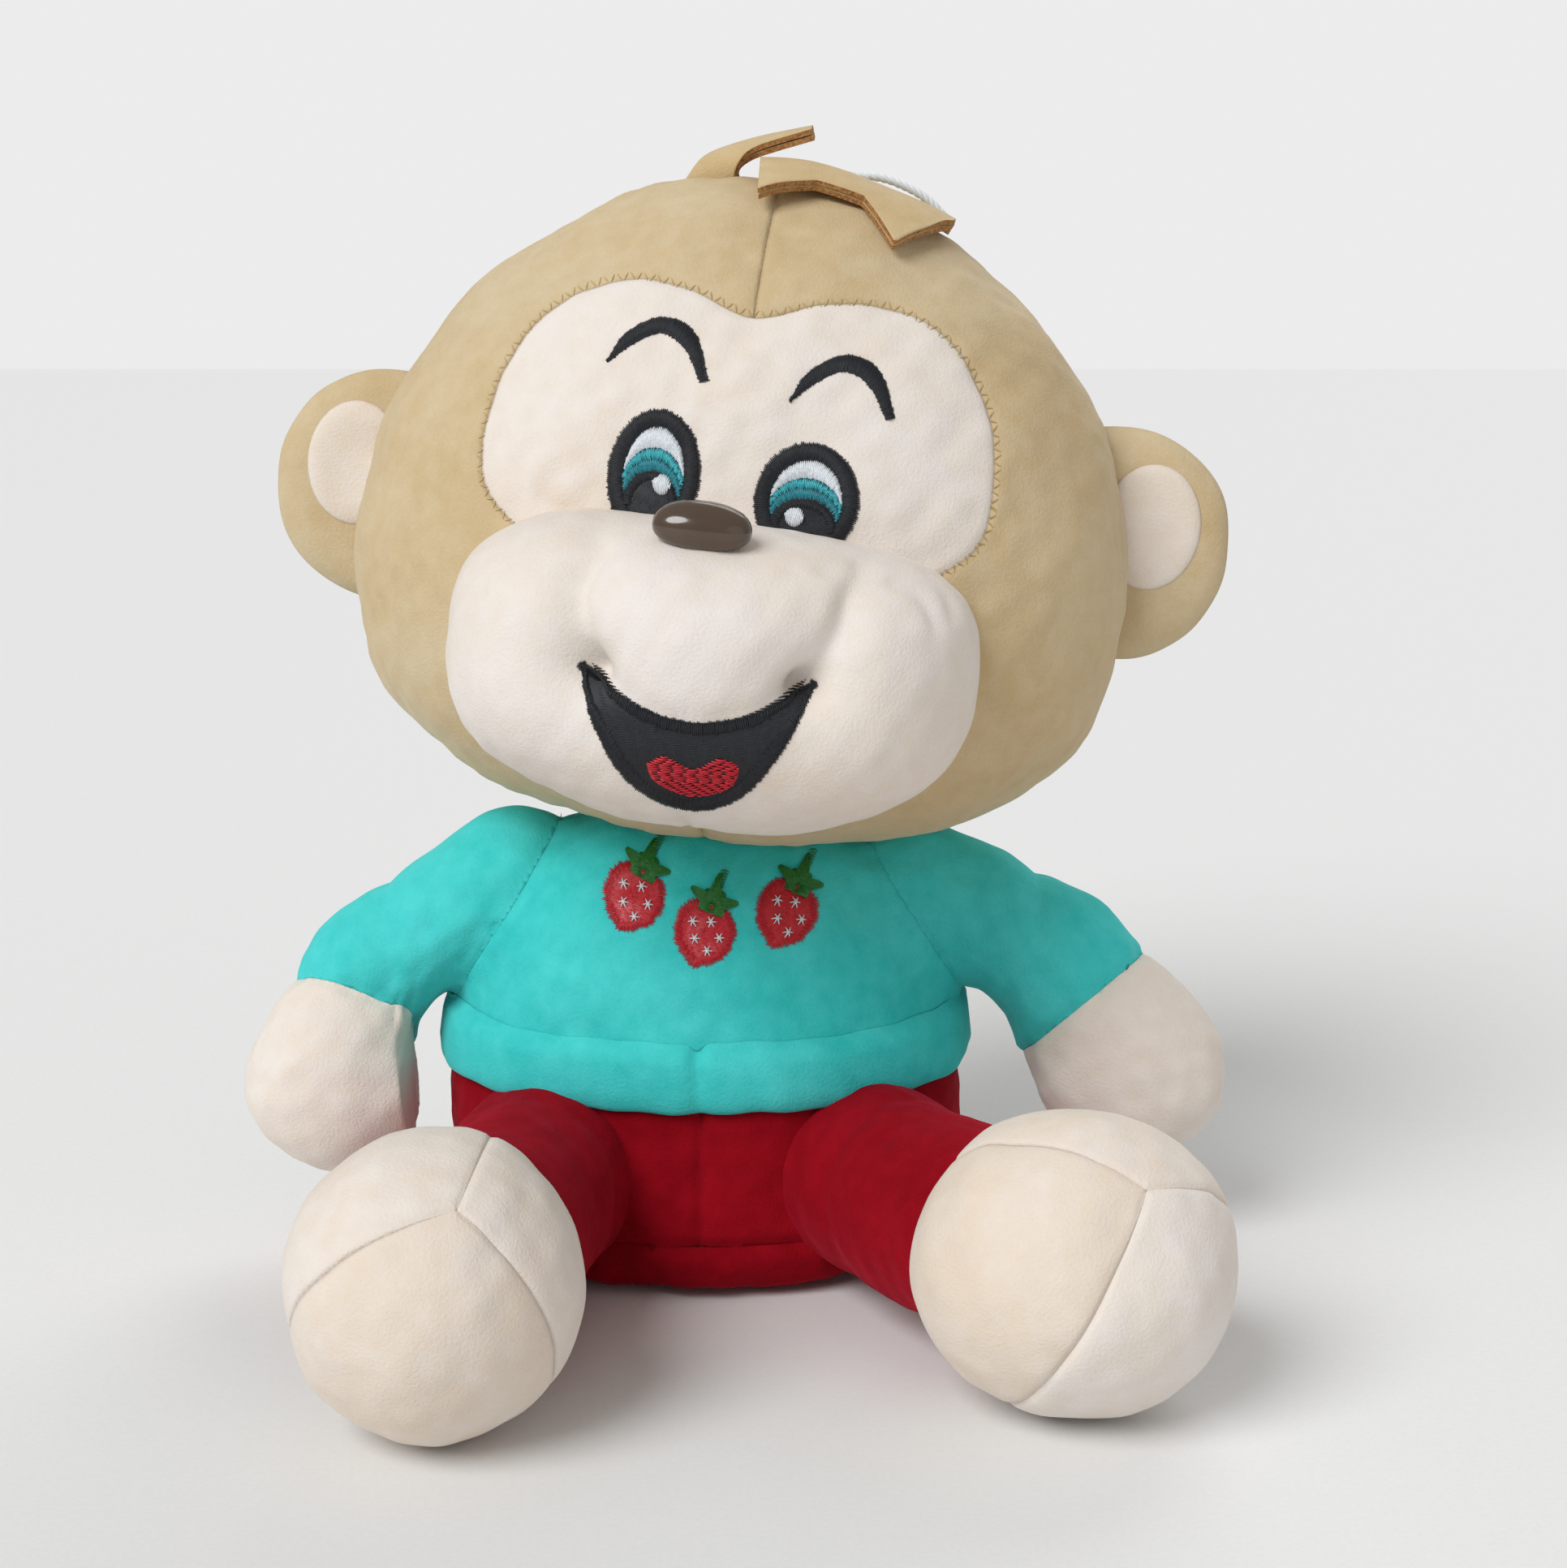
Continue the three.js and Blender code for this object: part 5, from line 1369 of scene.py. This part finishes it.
def band(line, width, inward_to):
    """Satin stitches along a line, from its edge towards a point inside."""
    tangent = np.gradient(line, axis=0)
    tangent /= np.linalg.norm(tangent, axis=1)[:, None]
    across = np.stack([tangent[:, 1], -tangent[:, 0]], -1)
    across *= np.sign(((np.array(inward_to) - line) * across).sum(1))[:, None]
    ends = np.clip(np.minimum(np.arange(len(line)), np.arange(len(line))[::-1]) / 22, 0.3, 1)[:, None]
    return satin_between(line - across * 0.2, line + across * width * ends, 0, 0.3)


embroidery("mouth", "head", "black_thread", ["mouth"], [
    bed_mesh(muzzle_cloth, mouth_loop, mouth_middle, black_thread),
    threads("upper_lip", muzzle_cloth, band(mouth_upper, MOUTH_BORDER * 0.8, (0, -40)), THREAD_RADIUS,
            black_thread, 0.5),
    threads("lower_lip", muzzle_cloth, band(mouth_lower, MOUTH_BORDER, (0, -38)), THREAD_RADIUS,
            black_thread, 0.5),
    threads("mouth_fill", muzzle_cloth, rows_inside(mouth_loop * (0.9, 1), 4, 0.5, 8), THREAD_RADIUS * 0.8,
            black_thread, 0.1),
])
tongue_loop = smooth_flat([*TONGUE, TONGUE[0]], 90)[:-1]
embroidery("tongue", "head", "red_thread", ["tongue"], [
    threads("tongue_fill", muzzle_cloth, rows_inside(tongue_loop, 4, 0.42, 9, 2.6), THREAD_RADIUS,
            red_thread, 0.5),
])

# ------------------------------------------------------------------ nose
# A glossy brown bean moulded in hard plastic, with a ribbed shank that goes through the muzzle and a
# white push-on washer inside that holds it for good.

nose_plastic, shader, flow = mottled("glossy_brown_plastic", (0.060, 0.035, 0.020), (0.085, 0.052, 0.030),
                                     160, 0.14)
shader.inputs["Coat Weight"].default_value = 0.6
shader.inputs["Coat Roughness"].default_value = 0.06
tree = nose_plastic.node_tree
scuff = tree.nodes.new("ShaderNodeTexNoise")
scuff.inputs["Scale"].default_value = 900
rough = tree.nodes.new("ShaderNodeMapRange")
rough.inputs["To Min"].default_value, rough.inputs["To Max"].default_value = 0.10, 0.24
tree.links.new(flow.inputs["Vector"].links[0].from_socket, scuff.inputs["Vector"])
tree.links.new(scuff.outputs["Fac"], rough.inputs["Value"])
tree.links.new(rough.outputs["Result"], shader.inputs["Roughness"])

NOSE_HALVES = (10.2, 4.9, 5.4)  # across, front to back, and high
NOSE_MIDDLE, NOSE_TILT = np.array([-3, -82.6, 4.8]), math.radians(50)
SHANK_RADIUS, SHANK_LENGTH, RIBS = 1.9, 15.8, 6


def nose_to_head(spots):
    """From the nose's own frame, whose +Y runs down its shank, to the head's."""
    c, s = math.cos(NOSE_TILT), math.sin(NOSE_TILT)
    return NOSE_MIDDLE + spots @ np.array([[1, 0, 0], [0, c, -s], [0, s, c]])


BEAN_ROWS, BEAN_SIDES = 41, 72
tilt = np.linspace(-np.pi / 2, np.pi / 2, BEAN_ROWS)[:, None]
turn = np.linspace(0, 2 * np.pi, BEAN_SIDES, endpoint=False)[None]
bean = np.stack([np.cos(tilt) * np.cos(turn), np.sin(tilt) + 0 * turn, np.cos(tilt) * np.sin(turn)], -1)
bean = np.sign(bean) * np.abs(bean) ** 0.88 * np.array(NOSE_HALVES)
bean[..., 2] -= 0.06 * (bean[..., 0] / NOSE_HALVES[0]) ** 2 * NOSE_HALVES[2]
bean[..., 1] = np.where(bean[..., 1] > 0, bean[..., 1] * 0.7, bean[..., 1])
bean_faces = around(np.arange(BEAN_ROWS * BEAN_SIDES).reshape(BEAN_ROWS, BEAN_SIDES))
rib_line = np.linspace(0, 1, 6 * RIBS + 1)
rib_swell = SHANK_RADIUS * (0.86 + 0.14 * np.abs(np.sin(rib_line * RIBS * np.pi)))
SHANK_SIDES, SHANK_START = 24, 2.5
rib_turn = np.linspace(0, 2 * np.pi, SHANK_SIDES, endpoint=False)
shank = np.stack([rib_swell[:, None] * np.cos(rib_turn),
                  SHANK_START + rib_line[:, None] * (SHANK_LENGTH - SHANK_START) + 0 * rib_turn,
                  rib_swell[:, None] * np.sin(rib_turn)], -1)
ids = np.arange(shank.shape[0] * SHANK_SIDES).reshape(-1, SHANK_SIDES)
shank_faces = around(ids).tolist() + [ids[0].tolist(), ids[-1].tolist()]
nose_points = np.concatenate([bean.reshape(-1, 3), shank.reshape(-1, 3)])
nose_faces = bean_faces.tolist() + [[i + BEAN_ROWS * BEAN_SIDES for i in f] for f in shank_faces]
nose = sewn("nose", from_head(nose_to_head(nose_points)), nose_faces, nose_plastic)
attach(nose, "head", "brown_plastic", "nose")

washer_plastic, _, _ = mottled("washer_plastic", (0.80, 0.80, 0.78), (0.9, 0.9, 0.88), 300, 0.45)
WASHER_PROFILE = [(2.3, 11.0), (3.4, 11.0), (3.8, 11.5), (6.2, 11.5), (6.7, 11.0), (7.0, 11.3), (7.0, 12.2),
                  (6.6, 12.6), (3.6, 12.6), (2.3, 12.2)]  # radius and distance down the shank
TEETH, WASHER_SIDES = 8, 64
turn = np.linspace(0, 2 * np.pi, WASHER_SIDES, endpoint=False)
ring = []
for radius, depth in [*WASHER_PROFILE, WASHER_PROFILE[0]]:
    grip = 0.35 * (np.cos(turn * TEETH) > 0) if radius < 3 else 0 * turn
    held = radius + grip
    ring.append(np.stack([held * np.cos(turn), depth + 0 * turn, held * np.sin(turn)], -1))
ids = np.arange(len(ring) * WASHER_SIDES).reshape(len(ring), WASHER_SIDES)
washer = sewn("nose_washer", from_head(nose_to_head(np.array(ring).reshape(-1, 3))), around(ids),
              washer_plastic)
attach(washer, "head", "washer_plastic", "nose_washer")

# ------------------------------------------------------------------ stitches round the face panel
# The face panel is let in with a close zigzag in tan thread, which shows as a row of tiny stitches
# along its edge.

gold_thread = thread_material("tan_sewing_thread", (0.62, 0.45, 0.20), (0.48, 0.32, 0.12), 0.6)
ZIGZAG_STEP, ZIGZAG_HALF, ZIGZAG_SLANT = 1.5, 0.75, 0.45
crown_sheet = head_parts["crown"]
ids = np.arange(crown_sheet.shape[0] * HEAD_TURNS).reshape(crown_sheet.shape[:2])
crown_faces = around(ids) + len(face_sheet.reshape(-1, 3))
front_cloth = Cloth(np.concatenate([face_sheet.reshape(-1, 3), crown_sheet.reshape(-1, 3)]),
                    np.concatenate([face_faces, crown_faces]), from_head)
edge = np.concatenate([face_seam[:, [0, 2]], face_seam[:1, [0, 2]]])
gone = np.concatenate([[0], np.cumsum(np.linalg.norm(np.diff(edge, axis=0), axis=1))])
at = np.arange(0, gone[-1], ZIGZAG_STEP)
spots = np.stack([np.interp(at, gone, edge[:, k]) for k in range(2)], -1)
way = np.gradient(spots, axis=0)
way /= np.linalg.norm(way, axis=1)[:, None]
side_way = np.stack([way[:, 1], -way[:, 0]], -1)
zigzag = []
for k, (spot, w, s) in enumerate(zip(spots, way, side_way)):
    if spot[1] > -8:
        flip = 1 if k % 2 else -1
        reach = s * ZIGZAG_HALF * flip + w * ZIGZAG_SLANT
        zigzag.append((spot - reach, spot + reach))
embroidery("face_edge_stitches", "head", "tan_velour", [], [
    threads("zigzag", front_cloth, zigzag, 0.15, gold_thread, 0.08),
])

# ------------------------------------------------------------------ ears
# Each ear is a thinly filled disc of two tan panels with an oval cream patch sewn on its front. Its cut
# edge is caught in the head's side seam.

EAR = {"width": 27, "depth": 6.3, "up": 27, "down": 27, "up_power": 2.2, "down_power": 2.2, "plan": 2.0}
EAR_ROOT_X, EAR_Y = 85, 4
EAR_Z = {"right": -5, "left": 2}
PATCH_HALVES, PATCH_THICK = (11.5, 14.5), 0.7
PATCH_AT = (8, 5)
EAR_RINGS, EAR_SIDES, PATCH_RINGS, PATCH_SIDES = 46, 140, 26, 96
for side, sign in SIDES.items():
    middle = np.array([sign * EAR_ROOT_X, EAR_Y, EAR_Z[side]])
    for face_name, facing in (("front", -1), ("back", 1)):
        open_angle = np.linspace(0, np.pi / 2, EAR_RINGS)[:, None]
        turn = np.linspace(0, 2 * np.pi, EAR_SIDES, endpoint=False)[None]
        rays = np.stack([np.sin(open_angle) * np.cos(turn), facing * np.cos(open_angle) + 0 * turn,
                         np.sin(open_angle) * np.sin(turn)], -1).reshape(-1, 3)
        panel = middle + rays * reach_of(EAR, rays)[:, None]
        across = (panel[:, [0, 2]] - middle[[0, 2]]) / EAR["width"]
        rim = np.linalg.norm(across, axis=1)
        cup = 1.7 * np.exp(-((rim - 0.35) / 0.33) ** 2) if facing < 0 else 0.3 * np.exp(-(rim / 0.5) ** 2)
        crumple = 0.9 * np.exp(-(np.abs(across[:, 0]) / 0.25) ** 2) * np.sin(panel[:, 2] / 3.1)
        panel[:, 1] -= facing * (cup + 0.5 * np.abs(crumple))
        panel += rays * (0.25 * waves(panel, 14, 81))[:, None]
        panel[:, 1] -= facing * 0.5 * np.exp(-((rim - 0.985) / 0.03) ** 2)
        ear_faces = around(np.arange(len(panel)).reshape(EAR_RINGS, EAR_SIDES))
        # The ear panel's level of painted light and shade is the last number.
        ear = cover(f"ear_{face_name}_{side}", from_head(panel), ear_faces, FABRIC,
                    from_head(middle + [0, facing * -4, 0]), tan_velour, 0.62)
        start = from_head([sign * (EAR_ROOT_X - 2), EAR_Y, EAR_Z[side]])
        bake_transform(ear)
        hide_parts(f"ear_{face_name}_{side}")
        if facing < 0:
            ear_cloth = Cloth(panel, ear_faces, from_head)
    patch_x, patch_z = sign * (EAR_ROOT_X + PATCH_AT[0]), EAR_Z[side] + PATCH_AT[1]
    turn = np.linspace(0, 2 * np.pi, PATCH_SIDES, endpoint=False)
    rows = []
    for share in np.linspace(1, 0, PATCH_RINGS):
        height = 0.15 + 1.0 * (1 - share ** 10)
        rows.append([ear_cloth.lay(patch_x + share * PATCH_HALVES[0] * math.cos(a),
                                   patch_z + share * PATCH_HALVES[1] * math.sin(a), height) for a in turn])
    ids = np.arange(PATCH_RINGS * PATCH_SIDES).reshape(PATCH_RINGS, PATCH_SIDES)
    # The patch's level of painted light and shade is the last number.
    patch = cover(f"ear_patch_{side}", from_head(np.array(rows).reshape(-1, 3)), around(ids), PATCH_THICK,
                  from_head([patch_x, 30, patch_z]), cream_velour, 0.45)
    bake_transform(patch)
    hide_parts(f"ear_patch_{side}")

# ------------------------------------------------------------------ hair: fringe and tuft
# Two scraps of tan velour, each doubled back to back and cut with scissors, so their raw edges show two
# thin brown layers. Both are caught in the crown seam; the fringe lies forward and the tuft stands up.

# The lit tan of the hair and the same tan in painted shade.
hair_velour = velour("hair_velour", (0.66, 0.52, 0.31), (0.54, 0.37, 0.17), (1.0, 0.93, 0.8), grain=0.45)
cut_edge, shader, fray = mottled("raw_brown_edge", (0.22, 0.085, 0.02), (0.50, 0.26, 0.09), 1400, 0.95, 3,
                                 (0.3, 0.7))
raise_by(fray, shader, 0.0003)

LAYER, LAYER_GAP = 1.15, 0.35


def scrap(name, rows, facing):
    """Two layers of cloth from a grid of head-frame points, with brown walls where it was cut."""
    grid = np.array(rows)
    down, over = np.gradient(grid, axis=0), np.gradient(grid, axis=1)
    normal = np.cross(down, over)
    normal /= np.linalg.norm(normal, axis=2)[..., None]
    if (normal.reshape(-1, 3) @ np.array(facing)).mean() < 0:
        normal = -normal
    count = grid.shape[0] * grid.shape[1]
    ids = np.arange(count).reshape(grid.shape[:2])
    rim = np.concatenate([ids[0, :-1], ids[:-1, -1], ids[-1, :0:-1], ids[:0:-1, 0]])
    points, patches, walls = [], [], []
    for layer, base in enumerate((0.0, LAYER + LAYER_GAP)):
        first = layer * 2 * count
        points += [(grid + normal * base).reshape(-1, 3), (grid + normal * (base + LAYER)).reshape(-1, 3)]
        patches += (grid_faces(ids)[:, ::-1] + first).tolist() + (grid_faces(ids) + first + count).tolist()
        a, b = rim, np.roll(rim, -1)
        walls += np.stack([a + first, b + first, b + first + count, a + first + count], -1).tolist()
    mesh = bpy.data.meshes.new(name)
    mesh.from_pydata((from_head(np.concatenate(points)) * MM).tolist(), [], patches + walls)
    mesh.materials.append(hair_velour)
    mesh.materials.append(cut_edge)
    for k, polygon in enumerate(mesh.polygons):
        polygon.material_index = int(k >= len(patches))
        polygon.use_smooth = k < len(patches)
    bm = bmesh.new()
    bm.from_mesh(mesh)
    bmesh.ops.recalc_face_normals(bm, faces=bm.faces)
    bm.to_mesh(mesh)
    bm.free()
    # The scrap's level of painted light and shade.
    mesh.attributes.new("nap_shade_level", "FLOAT", "POINT").data.foreach_set("value", [0.6] * len(mesh.vertices))
    thing = bpy.data.objects.new(f"sewn_{name}", mesh)
    bpy.context.collection.objects.link(thing)
    area = np.linalg.norm(np.cross(down, over), axis=2)[:-1, :-1].sum()
    return thing, area


FRINGE_ROOT = [(-6, 3.5), (5, 3.8), (16, 3.6), (28, 3.4), (38, 3)]
FRINGE_TIPS = [(-3.2, -24.5), (8, -17.5), (18.5, -18), (26.5, -28.5), (37.5, -12)]
FRINGE_COLUMNS, FRINGE_ROWS = 80, 34
root_line, tip_line = smooth_flat(FRINGE_ROOT, FRINGE_COLUMNS), np.array(FRINGE_TIPS, float)
gone = np.concatenate([[0], np.cumsum(np.linalg.norm(np.diff(tip_line, axis=0), axis=1))])
at = np.linspace(0, gone[-1], FRINGE_COLUMNS)
tip_line = np.stack([np.interp(at, gone, tip_line[:, k]) for k in range(2)], -1)


def top_of_head(x, y):
    """The spot on the head's plain form above X and Y, and the way out of it."""
    share = np.array([abs(x) / HEAD["width"], abs(y) / HEAD["depth"]])
    plan = (share ** HEAD["plan"]).sum() ** (1 / HEAD["plan"])
    high = (1 - plan ** HEAD["up_power"]) ** (1 / HEAD["up_power"])
    rise = HEAD_WIDEST[2] + HEAD["up"] * high
    out = np.array([x / HEAD["width"] ** 2, y / HEAD["depth"] ** 2, high / HEAD["up"]])
    return np.array([x, y, rise]), out / np.linalg.norm(out)


rows = []
for share in np.linspace(0, 1, FRINGE_ROWS):
    row = []
    for k, (a, b) in enumerate(zip(root_line, tip_line)):
        x, y = a + (b - a) * share
        spot, normal = top_of_head(x, y)
        curl = 0.8 * share ** 3 * math.exp(-((k - 4) / 9) ** 2)
        curl += 1.2 * share ** 4 * math.exp(-((k - 79) / 8) ** 2)
        rise = math.sin(math.pi * share * 0.5) * (0.8 + 0.2 * math.sin(k / 80 * 9))
        lift = 0.8 + 2.2 * rise * (1 - 0.45 * share ** 3) + curl
        row.append(spot + normal * lift)
    rows.append(row)
fringe, fringe_area = scrap("hair_fringe", rows, (0, 0, 1))
attach(fringe, "fringe", "hair_velour", "hair_fringe")

TUFT_REAR = [(-24, 71), (-19.5, 76.2), (-13, 79.8), (-6, 82.6), (5, 86)]  # left and upper edge, in X and Z
TUFT_FORE = [(-8.5, 72.5), (-11, 75.8), (-8.6, 78.6), (-3, 81.2), (5.8, 84.8)]
TUFT_TURN = 6.5  # how far the upper half turns its cut edges to the front
TUFT_ROWS, TUFT_COLUMNS = 60, 20
upper, lower = smooth_flat(TUFT_REAR, TUFT_ROWS), smooth_flat(TUFT_FORE, TUFT_ROWS)
rows = []
for k in range(TUFT_ROWS):
    share = k / (TUFT_ROWS - 1)
    row = []
    for s in np.linspace(0, 1, TUFT_COLUMNS):
        x, z = upper[k] + (lower[k] - upper[k]) * s
        turned = TUFT_TURN * min(1, share / 0.5) ** 1.5
        row.append((x, CROWN_SEAM_Y + 1.6 + turned * (1 - 2 * s), z - 1.2 * (share < 0.02)))
    rows.append(row)
tuft, tuft_area = scrap("hair_tuft", rows, (0.3, -1, 0.2))
attach(tuft, "tuft", "hair_velour", "hair_tuft")

# ------------------------------------------------------------------ strawberries on the chest
# Three embroidered strawberries, each with a satin border, a filled body, a green calyx and small white
# stars of three crossed stitches for its pips.

BERRIES = [(-15.2, 90.5, 24), (1, 83.5, 18), (19.7, 87, 26)]  # X, Z and lean in degrees
BERRY = [(0, -8.0), (-5.8, -3.4), (-6.6, 2.2), (-3.4, 5.6), (3.4, 5.6), (6.6, 2.2), (5.8, -3.4)]
BERRY_BORDER = 1.6
LEAF_SPREAD = [(160, 6.0), (128, 3.6), (92, 6.6), (58, 3.8), (22, 6.0), (-20, 3.6), (200, 3.4)]  # degrees, mm
PIPS = [(-3.0, 1.2), (0.9, 2.4), (3.7, -0.2), (-1.5, -2.1), (2.0, -3.7)]
PIP_REACH = 1.35
chest_cloth = Cloth(skin, trunk_faces, lambda spots: spots)
for k, (x, z, lean) in enumerate(BERRIES):
    c, s = math.cos(math.radians(lean)), math.sin(math.radians(lean))
    swing = np.array([[c, -s], [s, c]])

    def placed(flat_points):
        """Points of one upright strawberry leant over and moved to its place."""
        return np.asarray(flat_points, float) @ swing + (x, z)

    berry = smooth_flat([*BERRY, BERRY[0]], 90)[:-1]
    border = placed(berry * (1 - BERRY_BORDER / 14))
    body = [
        bed_mesh(chest_cloth, placed(berry * 0.95), placed(berry * 0.02), red_thread, 0.25),
        threads("berry_border", chest_cloth, satin_ring(border, BERRY_BORDER * 1.25, 0.6), 0.2, red_thread,
                0.3),
        threads("berry_fill", chest_cloth,
                rows_inside(placed(berry * 0.82), 8 - lean, 0.48, 21 + k, 2.4), 0.18,
                red_thread, 0.12),
    ]
    pip_stitches = []
    for pip in PIPS:
        for angle in (20, 80, 140):
            arm = PIP_REACH * np.array([math.cos(math.radians(angle)), math.sin(math.radians(angle))])
            pip_stitches.append((placed([pip - arm])[0], placed([pip + arm])[0]))
    body.append(threads("pips", chest_cloth, pip_stitches, 0.19, white_thread, 0.75))
    embroidery(f"strawberry_fruit_{k + 1}", "torso", "red_thread", [f"strawberry_fruit_{k + 1}"], body)

    calyx = []
    crown_at = np.array([0, 5.6])
    for angle, length in LEAF_SPREAD:
        way = np.array([math.cos(math.radians(angle)), math.sin(math.radians(angle))])
        over = np.array([-way[1], way[0]])
        for share in np.linspace(-1, 1, 9):
            root, tip = crown_at + over * share * 1.7, crown_at + way * length + over * share * 0.3
            calyx.append((placed([root])[0], placed([tip])[0]))
    stem = np.linspace(crown_at, crown_at + (0.6, 7.4), 14)
    for a in stem:
        calyx.append((placed([a - (0.95, 0.15)])[0], placed([a + (0.95, 0.15)])[0]))
    embroidery(f"strawberry_leaf_{k + 1}", "torso", "green_thread", [f"strawberry_leaf_{k + 1}"], [
        threads("calyx", chest_cloth, calyx, 0.24, green_thread, 0.75),
    ])
